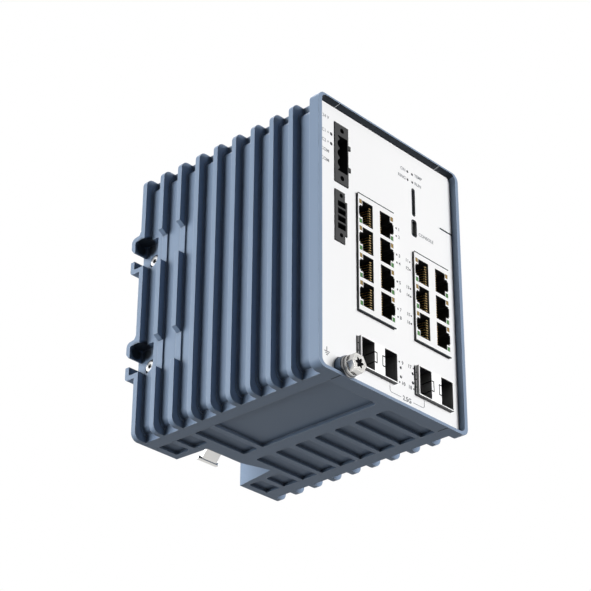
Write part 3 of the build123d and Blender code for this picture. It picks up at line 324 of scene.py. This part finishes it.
def drifting_colour(tree, place, colour, drift, grain):
    """Colour that gets a little lighter and darker in patches."""
    patch = add_node(tree, "ShaderNodeTexNoise")
    patch.inputs["Scale"].default_value = grain / PATCH_SIZE
    patch.inputs["Detail"].default_value = PATCH_DETAIL
    tree.links.new(place, patch.inputs["Vector"])
    tone = add_node(tree, "ShaderNodeMapRange")
    tone.inputs["To Min"].default_value = 1 - drift
    tone.inputs["To Max"].default_value = 1 + drift
    tree.links.new(patch.outputs["Fac"], tone.inputs["Value"])
    shade = add_node(tree, "ShaderNodeVectorMath", operation="SCALE", name="shade")
    shade.inputs[0].default_value = colour
    tree.links.new(tone.outputs["Result"], shade.inputs["Scale"])
    return shade


print("patches are", PATCH_SIZE, "times as large as specks")

# %% [markdown]
# Powder paint, moulded plastic and rolled sheet all have a fine grain. A second
# noise stands for it: it shifts the roughness, so that highlights aren't even,
# and raises a slight bump. The Bevel node rounds the edges first, and the bump
# is laid over its normals, so both show together.

# %% Fine grain over rounded edges
SPECK_DETAIL = 2
ROUGHNESS_SWING = 0.06
SMOOTHEST = 0.03
BUMP_HEIGHT = 0.0002
BEVEL_SAMPLES = 4


def grain_and_edges(tree, place, roughness, grain, bump, edge):
    """Uneven roughness and a fine bump over rounded edges. Gives back the Bevel node."""
    shader = tree.nodes["Principled BSDF"]
    speck = add_node(tree, "ShaderNodeTexNoise")
    speck.inputs["Scale"].default_value = grain
    speck.inputs["Detail"].default_value = SPECK_DETAIL
    tree.links.new(place, speck.inputs["Vector"])
    rough = add_node(tree, "ShaderNodeMapRange")
    rough.inputs["To Min"].default_value = max(SMOOTHEST, roughness - ROUGHNESS_SWING)
    rough.inputs["To Max"].default_value = min(1.0, roughness + ROUGHNESS_SWING)
    tree.links.new(speck.outputs["Fac"], rough.inputs["Value"])
    tree.links.new(rough.outputs["Result"], shader.inputs["Roughness"])
    soft = add_node(tree, "ShaderNodeBevel", samples=BEVEL_SAMPLES)
    soft.inputs["Radius"].default_value = edge
    relief = add_node(tree, "ShaderNodeBump")
    relief.inputs["Strength"].default_value = bump
    relief.inputs["Distance"].default_value = BUMP_HEIGHT
    tree.links.new(speck.outputs["Fac"], relief.inputs["Height"])
    tree.links.new(soft.outputs["Normal"], relief.inputs["Normal"])
    tree.links.new(relief.outputs["Normal"], shader.inputs["Normal"])
    return soft


print("roughness varies by", ROUGHNESS_SWING)

# %% [markdown]
# Now the four effects make one helper for all finishes. Two of them paint light
# and shade: shade in hollows and highlights on edges. Lengths such as the reach
# of the hollow shade are in metres. `stretch` squeezes the noise along one axis,
# which gives marks. `shine` is the strength of the mirror-like layer on top:
# powder paint and ink have little of it.

# %% One helper for all finishes


def finish(name, colour, roughness, metallic=0.0, drift=0.04, grain=900.0, bump=0.02,
           coat=0.0, stretch=(1, 1, 1), edge=0.0002, wear=0.0, worn=(0.8, 0.85, 0.9),
           hollow=0.0, depth=0.006, shine=0.5):
    """Material with drifting colour, uneven roughness, rounded edges and a fine bump, and if asked
    painted shade in hollows and painted highlights on edges.
    """
    material = bpy.data.materials.new(name)
    material.use_nodes = True
    tree = material.node_tree
    shader = tree.nodes["Principled BSDF"]
    shader.inputs["Specular IOR Level"].default_value = shine
    shader.inputs["Metallic"].default_value = metallic
    shader.inputs["Coat Weight"].default_value = coat
    where = add_node(tree, "ShaderNodeTexCoord")
    scale = add_node(tree, "ShaderNodeMapping")
    scale.inputs["Scale"].default_value = stretch
    tree.links.new(where.outputs["Object"], scale.inputs["Vector"])
    place = scale.outputs["Vector"]
    shade = drifting_colour(tree, place, colour, drift, grain)
    soft = grain_and_edges(tree, place, roughness, grain, bump, edge)
    if hollow:
        shade = darker_hollows(tree, shade, hollow, depth)
    colour_out = shade.outputs["Vector"]
    if wear:
        colour_out = paler_edges(tree, soft, shade, wear, worn).outputs["Result"]
    tree.links.new(colour_out, shader.inputs["Base Color"])
    return material


print("finishes can be made")

# %% [markdown]
# The CAD model names a finish for every piece, its material slot. `slot_finish`
# makes the finish for one slot and keeps it for later, when all the pieces are
# dressed in one go. `overpaint` puts one more colour over a finish where a mask
# is white. Two kinds of mask follow.

# %% Finishes by slot
by_slot = {}


def slot_finish(slot, colour, roughness, **look):
    """Finish for one material slot of the CAD model."""
    by_slot[slot] = finish(slot, colour, roughness, **look)
    return by_slot[slot]


def overpaint(material, mask, colour):
    """Colour over a finish where a mask is white."""
    tree = material.node_tree
    base = tree.nodes["Principled BSDF"].inputs["Base Color"]
    mix = add_node(tree, "ShaderNodeMix", data_type="RGBA")
    mix.inputs["B"].default_value = (*colour, 1)
    tree.links.new(mask, mix.inputs["Factor"])
    tree.links.new(base.links[0].from_socket, mix.inputs["A"])
    tree.links.new(mix.outputs["Result"], base)


print("slots with a finish so far:", len(by_slot))

# %% [markdown]
# Some faces hardly get light in the picture, such as the undersides of openings.
# The first mask finds them by the way they point: the product of the true normal
# and a direction is 1 where they agree. It can be kept to the part of the object
# above a height. Splitting the mesh would do as well, but the meshes stay as
# they are.

# %% A mask for faces that point one way
FACING_LIMIT = 0.7


def higher_than(tree, mask, height):
    """Keep a mask only above a height on the object."""
    where = add_node(tree, "ShaderNodeTexCoord")
    split = add_node(tree, "ShaderNodeSeparateXYZ")
    tree.links.new(where.outputs["Object"], split.inputs[0])
    over = add_node(tree, "ShaderNodeMath", operation="GREATER_THAN")
    over.inputs[1].default_value = height
    tree.links.new(split.outputs["Z"], over.inputs[0])
    both = add_node(tree, "ShaderNodeMath", operation="MULTIPLY")
    tree.links.new(mask.outputs[0], both.inputs[0])
    tree.links.new(over.outputs[0], both.inputs[1])
    return both


def darken_facing(material, ways, dark, above=None):
    """Make the faces that point certain ways dark, all of them or those above a height."""
    tree = material.node_tree
    flat = add_node(tree, "ShaderNodeNewGeometry")
    for way in ways:
        facing = add_node(tree, "ShaderNodeVectorMath", operation="DOT_PRODUCT")
        facing.inputs[1].default_value = way
        tree.links.new(flat.outputs["True Normal"], facing.inputs[0])
        chosen = add_node(tree, "ShaderNodeMath", operation="GREATER_THAN")
        chosen.inputs[1].default_value = FACING_LIMIT
        tree.links.new(facing.outputs["Value"], chosen.inputs[0])
        if above is not None:
            chosen = higher_than(tree, chosen, above)
        overpaint(material, chosen.outputs[0], dark)


print("faces count within", round(math.degrees(math.acos(FACING_LIMIT))), "degrees")

# %% [markdown]
# The second mask is a ball round a point of the object, for a pocket that lies
# in shade as a whole. Its rim is soft, so no circle shows on the paint.

# %% A mask round a point
BALL_FADE = 0.8


def darken_round(material, centre, radius, dark):
    """Make a finish dark within a ball round a point, with a soft rim."""
    tree = material.node_tree
    where = add_node(tree, "ShaderNodeTexCoord")
    away = add_node(tree, "ShaderNodeVectorMath", operation="DISTANCE")
    away.inputs[1].default_value = centre
    tree.links.new(where.outputs["Object"], away.inputs[0])
    amount = add_node(tree, "ShaderNodeMapRange")
    amount.inputs["From Min"].default_value = radius
    amount.inputs["From Max"].default_value = radius * BALL_FADE
    tree.links.new(away.outputs["Value"], amount.inputs["Value"])
    overpaint(material, amount.outputs["Result"], dark)


print("the ball is fully dark within", BALL_FADE, "of its radius")

# %% [markdown]
# The housing and both finned covers are die castings with blue-grey powder
# paint: fine grained, half matt, with edges that catch the light. Their edges
# also get a painted highlight, and their grooves painted shade. Two places
# lie in deep shade in the picture and are painted dark: the faces close to the
# top that point down, such as the lower side of the front rim's upper bar, and
# the hollows of the four rear ears.

# %% The painted casting
CASTING_BLUE = (0.225, 0.30, 0.42)
PAINT_IN_SHADE = (0.02, 0.026, 0.035)
TOP_RIM = 0.13
EAR_CENTRE = (0.046, 0.0575, 0.0465)
EAR_STEP = 0.0561
EAR_HOLLOW = 0.0055
casting = slot_finish("painted_casting", CASTING_BLUE, 0.42, drift=0.03, grain=1400, bump=0.10,
                      edge=0.00025, wear=0.5, hollow=1.2, depth=0.003, shine=0.15)
darken_facing(casting, [(0, 0, -1)], PAINT_IN_SHADE, above=TOP_RIM)
for side in (-1, 1):
    for row in range(2):
        centre = (side * EAR_CENTRE[0], EAR_CENTRE[1], EAR_CENTRE[2] + row * EAR_STEP)
        darken_round(casting, centre, EAR_HOLLOW, PAINT_IN_SHADE)
print("casting nodes:", len(casting.node_tree.nodes))

# %% [markdown]
# The front panel is white lacquer on sheet metal, nearly without texture. The
# ground screw and its washers are plated steel. Their flanks get painted shade
# in the hollows and painted highlights along the edges, which draws the hexagon
# of the head.

# %% Panel lacquer and plated steel
HIGHLIGHT_GREY = (0.9, 0.9, 0.9)
slot_finish("white_panel", (0.92, 0.92, 0.925), 0.38, drift=0.006, grain=2000, bump=0.02)
slot_finish("bright_steel", (0.60, 0.59, 0.57), 0.22, metallic=1, drift=0.05, grain=1500,
            edge=0.0003, wear=0.5, worn=HIGHLIGHT_GREY, hollow=2.5, depth=0.003)
slot_finish("washer_steel", (0.36, 0.36, 0.36), 0.35, metallic=1, grain=1200, bump=0.04,
            edge=0.0002, wear=0.6, worn=HIGHLIGHT_GREY, hollow=2.0, depth=0.002)
print("slots with a finish so far:", len(by_slot))

# %% [markdown]
# Sockets and headers are black plastic, both with painted shade in their
# hollows. The first kind is matt, and its faces that point to the left or down
# get painted shade, so that through the openings they show as black. The second
# kind has a slight gloss. The header pins are tinned.

# %% Black plastics and pins
LEFT_AND_DOWN = [(-1, 0, 0), (0, 0, -1)]
matt_plastic = slot_finish("dark_plastic", (0.032, 0.032, 0.033), 0.5, hollow=1.0, depth=0.003,
                           drift=0.1, grain=1500, bump=0.1, shine=0.2)
darken_facing(matt_plastic, LEFT_AND_DOWN, (0.005, 0.005, 0.006))
slot_finish("black_plastic", (0.022, 0.022, 0.023), 0.35, hollow=0.6, depth=0.004,
            drift=0.1, grain=1500, bump=0.05)
slot_finish("tinned_pins", (0.70, 0.70, 0.69), 0.3, metallic=1, drift=0.03, grain=2000)
print("slots with a finish so far:", len(by_slot))

# %% [markdown]
# The jack blocks wear a shield of thin plated sheet. Their fronts reflect the
# white studio, and a pale colour with little texture paints that reflection in
# place of a true mirror. Faces that point to the left or down get painted shade.
# Inside, the contacts are gold. Every jack has an amber and a green
# light: unlit, they are dark, grainy plastic with a thin gloss on top.

# %% Jack shields, contacts and lights
jack_sheet = slot_finish("jack_shield", (0.92, 0.92, 0.92), 0.3, drift=0.01, grain=2000)
darken_facing(jack_sheet, LEFT_AND_DOWN, (0.01, 0.01, 0.011))
slot_finish("gold_contacts", (0.83, 0.56, 0.20), 0.28, metallic=1, drift=0.05, grain=2000)
slot_finish("amber_light", (0.25, 0.15, 0.02), 0.25, drift=0.25, grain=9000, bump=0.05, coat=0.3)
slot_finish("green_light", (0.03, 0.16, 0.02), 0.25, drift=0.25, grain=9000, bump=0.05, coat=0.3)
print("slots with a finish so far:", len(by_slot))

# %% [markdown]
# The module cages are folded from steel sheet. They are pale outside, and shade
# is painted deep inside them, so the painted hollow shade reaches ten millimetres
# here. Their faces that point down get painted shade too. Light pipes are
# clear rods that look nearly black in front of the dark inside of the case.

# %% Cages and light pipes
cage_sheet = slot_finish("cage_steel", (0.88, 0.88, 0.88), 0.32, metallic=0.3, drift=0.02,
                         grain=1500, hollow=2.0, depth=0.010)
darken_facing(cage_sheet, [(0, 0, -1)], (0.02, 0.02, 0.022))
slot_finish("light_pipe", (0.03, 0.033, 0.04), 0.2, drift=0.1, grain=2000, coat=0.5)
print("slots with a finish so far:", len(by_slot))

# %% [markdown]
# What sits inside the case is hardly seen, but every piece keeps its own stuff:
# green boards, a dull transformer core, aluminium capacitor cans and matt chips.
# At the back, the latch and the clip plate are stainless sheet. Their noise is
# stretched sixfold across, which gives the short marks of rolling.

# %% Inside the case, and the rail latch
slot_finish("circuit_board", (0.02, 0.12, 0.05), 0.4, drift=0.1, grain=800, bump=0.05)
slot_finish("transformer_core", (0.03, 0.028, 0.027), 0.6, drift=0.15, grain=900, bump=0.2)
slot_finish("capacitor_can", (0.55, 0.56, 0.58), 0.35, metallic=1, drift=0.05, grain=900)
slot_finish("chip_package", (0.015, 0.015, 0.016), 0.5, drift=0.1, grain=1500, bump=0.1)
slot_finish("stainless_sheet", (0.66, 0.65, 0.63), 0.30, metallic=1, drift=0.05, grain=900,
            bump=0.05, stretch=(6, 1, 1))
slot_finish("spring_steel", (0.55, 0.55, 0.55), 0.3, metallic=1, drift=0.05, grain=900)
print("slots with a finish:", len(by_slot))

# %% [markdown]
# Now every node of the model gets the finish of its slot. The cover screws are
# the one exception. They sit deep in the ears' pockets, in shade, so they get a
# darker steel than other plated screws as painted shade, with painted shade in
# their hollows and painted highlights on their edges.

# %% Dress every node


def dress(name, material):
    """Give a CAD node one finish in every slot."""
    mesh = nodes[name].data
    if not mesh.materials:
        mesh.materials.append(material)
    for index in range(len(mesh.materials)):
        mesh.materials[index] = material


for part in frame["record"]["subparts"]:
    dress(part["node"], by_slot[part["material_slot"]])
shaded_screw_steel = finish("cover_screw", (0.30, 0.30, 0.30), 0.3, metallic=1, grain=1200, bump=0.04,
                    edge=0.0002, wear=0.6, worn=HIGHLIGHT_GREY, hollow=3.0, depth=0.004)
for name in ("left_cover_screws", "right_cover_screws"):
    dress(name, shaded_screw_steel)

# %% [markdown]
# The front panel carries thin grey print: numbers beside the ports, short words
# beside the lights, a bracket that joins the two pairs of cages, and an earth
# sign. On the real panel it is a film a few hundredths of a millimetre thick,
# so flat pieces just in front of the lacquer do the job. Ink needs hardly any
# shine, or it would mirror the white studio and turn pale. The darkest ink also
# serves as painted shade in narrow gaps, seams and the edges of slots. Two more
# finishes serve small details below: a black that paints the shade of a deep
# recess, and a bright one for a painted highlight along a seam.

# %% Inks and two finishes for details
INK_FILM = 0.04
panel_low, panel_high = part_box("front_panel")
PRINT_Y = panel_low.y - INK_FILM * MM
ink = finish("grey_ink", (0.13, 0.135, 0.15), 0.5, drift=0.05, grain=3000, shine=0.1)
pale_ink = finish("pale_ink", (0.30, 0.31, 0.33), 0.5, drift=0.05, grain=3000, shine=0.1)
dark_ink_and_shade = finish("dark_ink_and_shade", (0.035, 0.04, 0.05), 0.5, drift=0.05, grain=3000, shine=0.1)
recess_shade = finish("recess_shade", (0.008, 0.008, 0.009), 0.8, drift=0.1, grain=3000, shine=0.0)
seam_highlight = finish("seam_highlight", (0.75, 0.78, 0.82), 0.5, drift=0.05, grain=3000)
print("print lies at y =", round(PRINT_Y / MM, 2), "mm")

# %% [markdown]
# A word is a flat text object in the plane of the panel. Letters could also be
# cut as meshes, but a text object keeps them easy to change. They are sized by
# the height of a capital, which is 0.72 of the font size, and swell a little, as
# ink does. Everything printed rides the case, so it moves with it.

# %% Words on the panel
CAPITAL_SHARE = 0.72
INK_SPREAD = 0.03


def printed(piece, paint):
    """Ink on the panel: it takes a paint and moves with the case."""
    piece.data.materials.append(paint)
    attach(piece, "case")
    return piece


def word(name, text, x, z, height, paint, align="CENTER"):
    """Flat text in the plane of the panel, placed by its middle or by one end."""
    curve = bpy.data.curves.new(name, "FONT")
    curve.body = text
    curve.size = height / CAPITAL_SHARE * MM
    curve.align_x = align
    curve.align_y = "CENTER"
    curve.resolution_u = 3
    curve.offset = height * INK_SPREAD * MM
    made = bpy.data.objects.new(name, curve)
    made.location = (x * MM, PRINT_Y, z * MM)
    made.rotation_euler = (math.pi / 2, 0, 0)
    bpy.context.collection.objects.link(made)
    return printed(made, paint)


print("font size of 1 mm capitals in mm:", round(1 / CAPITAL_SHARE, 3))

# %% [markdown]
# Lines are curves with a round section, so they also show from the side and can
# run along an edge in any direction. `line_through` takes points in metres, and
# `stroke` points of the panel in millimetres. A dot is a flat disc, since only
# its front is ever seen.

# %% Lines and dots
DOT_CORNERS = 16


def line_through(name, points, width, paint):
    """Thin round line through points given in metres, its width in millimetres."""
    curve = bpy.data.curves.new(name, "CURVE")
    curve.dimensions = "3D"
    curve.bevel_depth = width / 2 * MM
    curve.bevel_resolution = 1
    line = curve.splines.new("POLY")
    line.points.add(len(points) - 1)
    for point, place in zip(line.points, points):
        point.co = (*place, 1)
    made = bpy.data.objects.new(name, curve)
    bpy.context.collection.objects.link(made)
    return printed(made, paint)


def stroke(name, points, width, paint):
    """Thin printed line through points of the panel."""
    return line_through(name, [(x * MM, panel_low.y, z * MM) for x, z in points], width, paint)


def dot(name, x, z, radius, paint):
    """Round printed dot."""
    turns = [2 * math.pi * k / DOT_CORNERS for k in range(DOT_CORNERS)]
    ring = [(x * MM + radius * MM * math.cos(a), PRINT_Y, z * MM + radius * MM * math.sin(a))
            for a in turns]
    return printed(plain_mesh(name, ring, [tuple(range(DOT_CORNERS))]), paint)


print("a dot has", DOT_CORNERS, "corners")

# %% [markdown]
# Each row of a jack block holds two jacks, so two numbers stand beside it. The
# tall block counts from 1 to 8 on its right, the shorter one from 11 to 16 on
# its left. Both blocks stand at the same height and share one pitch.

# %% Port numbers
PORT_PITCH = 13.97
FOOT_TO_ROW = 9.0
UPPER_NUMBER = 2.7
LOWER_NUMBER = -1.4
NUMERAL = 1.7
RIGHT_OF_EIGHT = 4.8
LEFT_OF_SIX = 4.0
eight_low, eight_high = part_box("eight_jack_shield")
six_low, six_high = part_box("six_jack_shield")
LOWEST_ROW = eight_low.z / MM + FOOT_TO_ROW


def number_rows(first, rows, x):
    """Two numbers beside every row of a jack block, counted from the top."""
    for row in range(rows):
        height = LOWEST_ROW + (rows - 1 - row) * PORT_PITCH
        for step, dz in enumerate((UPPER_NUMBER, LOWER_NUMBER)):
            number = first + 2 * row + step
            word(f"port_number_{number}", str(number), x, height + dz, NUMERAL, ink)


number_rows(1, 4, eight_high.x / MM + RIGHT_OF_EIGHT)
number_rows(11, 3, six_low.x / MM - LEFT_OF_SIX)

# %% [markdown]
# Ports 9, 10, 17 and 18 are the module cages. Their numbers stand in the space
# between the two pairs of cages, each with a dark dot beside it. The table gives
# the number, its place across and up, and the dot's place across.

# %% Module numbers
MODULE_NUMERAL = NUMERAL + 0.1
MODULE_DOT = 0.42
cage_low, cage_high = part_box("left_module_cages")
cage_middle = (cage_low.z + cage_high.z) / 2 / MM
for number, x, dz, dot_x in ((9, 8.6, 5.25, 6.35), (10, 9.0, -4.75, 6.35),
                             (17, 13.5, 5.4, 16.05), (18, 13.5, -4.8, 16.05)):
    word(f"port_number_{number}", str(number), x, cage_middle + dz, MODULE_NUMERAL, ink)
    dot(f"module_dot_{number}", dot_x, cage_middle + dz, MODULE_DOT, dark_ink_and_shade)
print("middle of the cages at height", round(cage_middle, 2), "mm")

# %% [markdown]
# Below the cages a printed bracket joins both pairs and carries their speed. It
# starts under each pair, runs down, turns a round corner and ends at the word.
# Seven points, fifteen degrees apart, make a quarter turn.

# %% Bracket below the cages
BRACKET_Z = 6.05
BRACKET_TOP = 10.0
BRACKET_LEFT = -0.35
BRACKET_RIGHT = 23.15
WORD_LEFT = 7.0
WORD_RIGHT = 15.4
BRACKET_CORNER = 1.2
BRACKET_LINE = 0.3
SPEED_X = 11.2
SPEED_LETTERS = 2.2
QUARTER_TURN = [15 * k for k in range(7)]


def bracket_side(name, x, way, inner):
    """One half of the bracket: down from a cage, round a corner and inwards."""
    turn = [(x + way * BRACKET_CORNER * (1 - math.cos(a)),
             BRACKET_Z + BRACKET_CORNER * (1 - math.sin(a)))
            for a in (math.radians(degrees) for degrees in QUARTER_TURN)]
    stroke(name, [(x, BRACKET_TOP)] + turn + [(inner, BRACKET_Z)], BRACKET_LINE, pale_ink)


bracket_side("bracket_left", BRACKET_LEFT, 1, WORD_LEFT)
bracket_side("bracket_right", BRACKET_RIGHT, -1, WORD_RIGHT)
word("speed_label", "2.5G", SPEED_X, BRACKET_Z, SPEED_LETTERS, ink)
print("bracket joins the cages at height", BRACKET_Z)

# %% [markdown]
# General words name the lights, the console port and the poles of the power
# header, as on any such panel. They are set from one edge, so that each column
# lines up: right-aligned words end at their x, left-aligned ones begin there.

# %% Words beside lights and headers
LABEL_LETTERS = 1.7
POWER_WORDS_X = -39.6
for name, text, x, z, align in (
        ("label_on", "ON", 14.2, 126.4, "RIGHT"),
        ("label_ring", "RING", 14.2, 122.0, "RIGHT"),
        ("label_temp", "TEMP", 20.6, 126.6, "LEFT"),
        ("label_run", "RUN", 20.6, 122.1, "LEFT"),
        ("label_console", "CONSOLE", 22.6, 95.2, "LEFT"),
        ("label_volts", "24 V", POWER_WORDS_X, 129.2, "RIGHT"),
        ("label_plus_1", "DC1 +", POWER_WORDS_X, 121.3, "RIGHT"),
        ("label_plus_2", "DC2 +", POWER_WORDS_X, 116.2, "RIGHT"),
        ("label_minus_1", "COM", POWER_WORDS_X, 111.2, "RIGHT"),
        ("label_minus_2", "COM", POWER_WORDS_X, 106.2, "RIGHT")):
    word(name, text, x, z, LABEL_LETTERS, pale_ink, align)

# %% [markdown]
# High on the right, a short dark line runs out to the panel's edge. It is wider
# than the bracket's line and nearly black.

# %% Line at the panel's right edge
PANEL_LINE_X = 38.6
PANEL_LINE_Z = 105.5
PANEL_LINE_WIDTH = 0.75
stroke("panel_line", [(PANEL_LINE_X, PANEL_LINE_Z), (panel_high.x / MM, PANEL_LINE_Z)],
       PANEL_LINE_WIDTH, dark_ink_and_shade)
print("line drawn at height", PANEL_LINE_Z)

# %% [markdown]
# Between a jack block and its cut-out there is a narrow gap, and it reads as a
# dark line above and below the block. The gap itself is too narrow to stay dark
# in a bright studio, so a thin dark line of painted shade along each shield's
# front edge helps.

# %% Dark gaps above and below the jack blocks
TOP_GAP = 0.5
BOTTOM_GAP = 0.7
for name in ("eight_jack", "six_jack"):
    low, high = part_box(f"{name}_shield")
    line_through(f"{name}_top_edge", [(low.x, low.y, high.z), (high.x, low.y, high.z)],
                 TOP_GAP, dark_ink_and_shade)
    line_through(f"{name}_bottom_edge", [(low.x, low.y, low.z), (high.x, low.y, low.z)],
                 BOTTOM_GAP, dark_ink_and_shade)
print("edges drawn for two jack blocks")

# %% [markdown]
# The slots for the memory card and the console plug have rounded ends, and their
# cut edges lie in shade, painted as a dark rim. The rim is one closed line: four
# quarter turns joined by straight sides. It is placed from the sockets that stand
# behind the panel.

# %% Dark rims of the card slot and the console port
CARD_WIDTH = 2.2
CARD_WALL = 0.4
CONSOLE_WIDTH = 3.15


def slot_rim(name, x, z, corner, width):
    """Dark rounded edge of painted shade round a slot of the panel."""
    ring = []
    for cx, cz, start in ((x[1] - corner, z[1] - corner, 0), (x[0] + corner, z[1] - corner, 90),
                          (x[0] + corner, z[0] + corner, 180), (x[1] - corner, z[0] + corner, 270)):
        ring += [(cx + corner * math.cos(math.radians(start + degrees)),
                  cz + corner * math.sin(math.radians(start + degrees)))
                 for degrees in QUARTER_TURN]
    stroke(name, ring + ring[:1], width, dark_ink_and_shade)


card_low, card_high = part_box("memory_card_socket")
console_low, console_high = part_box("console_socket")
card_x = (card_high.x / MM - CARD_WIDTH, card_high.x / MM - CARD_WALL)
card_z = (card_low.z / MM + CARD_WALL, card_high.z / MM - CARD_WALL)
slot_rim("card_slot_rim", card_x, card_z, corner=0.85, width=0.55)
console_x = (console_high.x / MM - CONSOLE_WIDTH, console_high.x / MM)
console_z = (console_low.z / MM, console_high.z / MM)
slot_rim("console_rim", console_x, console_z, corner=1.1, width=0.6)
print("card slot is", round(card_z[1] - card_z[0], 1), "mm high")

# %% [markdown]
# Eight spring contacts stand side by side in every jack, 1.27 mm apart. From
# the front only their bent tips show, as a small gold comb near the block's
# middle wall. One flat rectangle per contact is enough at this size, and all
# the tips of one column make a single piece.

# %% Contact combs in the jacks
CONTACTS = 8
CONTACT_PITCH = 1.27
TIP_LENGTH = 1.3
TIP_HALF = 0.16
TIP_FROM_WALL = 0.35
TIP_DEPTH = 0.9
LEFT_WALL = 10.0
RIGHT_WALL = 15.0
comb_gold = finish("comb_gold", (0.55, 0.38, 0.16), 0.4, metallic=0.4, drift=0.1, grain=3000)


def contact_comb(name, wall, way, rows, front):
    """The bent tips of eight contacts at the wall of every jack in a column."""
    corners, faces = [], []
    x = sorted(((wall + way * TIP_FROM_WALL) * MM,
                (wall + way * (TIP_FROM_WALL + TIP_LENGTH)) * MM))
    for row in range(rows):
        for index in range(CONTACTS):
            step = index - (CONTACTS - 1) / 2
            z = (LOWEST_ROW + row * PORT_PITCH + step * CONTACT_PITCH) * MM
            first = len(corners)
            corners += [(x[0], front, z - TIP_HALF * MM), (x[1], front, z - TIP_HALF * MM),
                        (x[1], front, z + TIP_HALF * MM), (x[0], front, z + TIP_HALF * MM)]
            faces.append((first, first + 1, first + 2, first + 3))
    piece = plain_mesh(name, corners, faces)
    piece.data.materials.append(comb_gold)
    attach(piece, "case")
    return len(faces)


tips = 0
for name, rows in (("eight_jack", 4), ("six_jack", 3)):
    low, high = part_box(f"{name}_shield")
    for side, wall, way in (("left", LEFT_WALL, -1), ("right", RIGHT_WALL, 1)):
        tips += contact_comb(f"{name}_{side}_comb", low.x / MM + wall, way, rows,
                             low.y + TIP_DEPTH * MM)
print("contact tips added:", tips)

# %% [markdown]
# Beside the ground screw the panel shows the earth sign: a stem over three bars
# that get shorter downwards. Each bar is one stroke.

# %% Earth sign
EARTH_X = -41.5
EARTH_Z = 9.0
EARTH_LINE = 0.35
STEM_TOP = 3.4
STEM_FOOT = 1.2
BAR_STEP = 0.8
stroke("earth_stem", [(EARTH_X, EARTH_Z + STEM_TOP), (EARTH_X, EARTH_Z + STEM_FOOT)],
       EARTH_LINE, ink)
for index, half in enumerate((1.7, 1.15, 0.6)):
    z = EARTH_Z + STEM_FOOT - BAR_STEP * index
    stroke(f"earth_bar_{index + 1}", [(EARTH_X - half, z), (EARTH_X + half, z)], EARTH_LINE, ink)
print("earth sign at", EARTH_X, EARTH_Z)

# %% [markdown]
# The ground screw has a six-pointed recess, and the real one is a little larger
# than the solid's. A black star of painted shade, just in front of the head,
# shows it. Its outline is a circle whose radius swings six times on the way
# round. A thin steel ring round the star catches the light.

# %% Recess of the ground screw
STAR_MEAN = 2.1
STAR_SWING = 0.5
STAR_POINTS = 6
RING_RADIUS = 3.1
RING_LINE = 0.25
OUTLINE_POINTS = 48
STAR_LIFT = 0.03
RING_SETBACK = 0.05
screw_low, screw_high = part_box("ground_screw")
screw_x, screw_z = (screw_low.x + screw_high.x) / 2, (screw_low.z + screw_high.z) / 2


def round_points(mean, swing, y):
    """Closed outline round the axis of the ground screw, all at one depth."""
    points = []
    for k in range(OUTLINE_POINTS):
        a = 2 * math.pi * k / OUTLINE_POINTS
        radius = (mean + swing * math.cos(STAR_POINTS * a)) * MM
        points.append((screw_x + radius * math.cos(a), y, screw_z + radius * math.sin(a)))
    return points


star = plain_mesh("ground_screw_recess",
                  round_points(STAR_MEAN, STAR_SWING, screw_low.y - STAR_LIFT * MM),
                  [tuple(range(OUTLINE_POINTS))])
star.data.materials.append(recess_shade)
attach(star, "case")
ring = round_points(RING_RADIUS, 0, screw_low.y + RING_SETBACK * MM)
line_through("ground_screw_ring", ring + ring[:1], RING_LINE, by_slot["washer_steel"])
print("ground screw", [round(v / MM, 2) for v in (*screw_low, *screw_high)])

# %% [markdown]
# Where the covers meet the middle housing, a seam shows at the front rim. Below,
# it is a dark line of painted shade in the gap under the rim. Above, it is a
# bright line, a painted highlight where the edges catch the light. Both are short
# thin lines, set back so that they hardly leave the solids' surface.

# %% Seams of the case
SEAM = 35.8
DARK_SEAM = 0.65
BRIGHT_SEAM = 0.4
SEAM_SETBACK = 0.2
SEAM_LENGTH = 6
BRIGHT_FRONT_DROP = 0.8
BRIGHT_BACK_DROP = 1.6
rim_low, rim_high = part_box("middle_housing")
for side, name in ((-1, "left"), (1, "right")):
    x = side * SEAM * MM
    below = rim_low.z + SEAM_SETBACK * MM
    line_through(f"{name}_seam_below", [(x, rim_low.y + SEAM_SETBACK * MM, below),
                                        (x, rim_low.y + SEAM_LENGTH * MM, below)],
                 DARK_SEAM, dark_ink_and_shade)
    line_through(f"{name}_seam_above", [(x, rim_low.y, rim_high.z - BRIGHT_FRONT_DROP * MM),
                                        (x, panel_low.y, rim_high.z - BRIGHT_BACK_DROP * MM)],
                 BRIGHT_SEAM, seam_highlight)
print("seams drawn at", SEAM, "mm either side")

# %% [markdown]
# Last, the bounds of the dressed model are measured. They should differ from
# those of the bare CAD model by a tenth of a millimetre at most.

# %% Measure and finish
low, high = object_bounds()
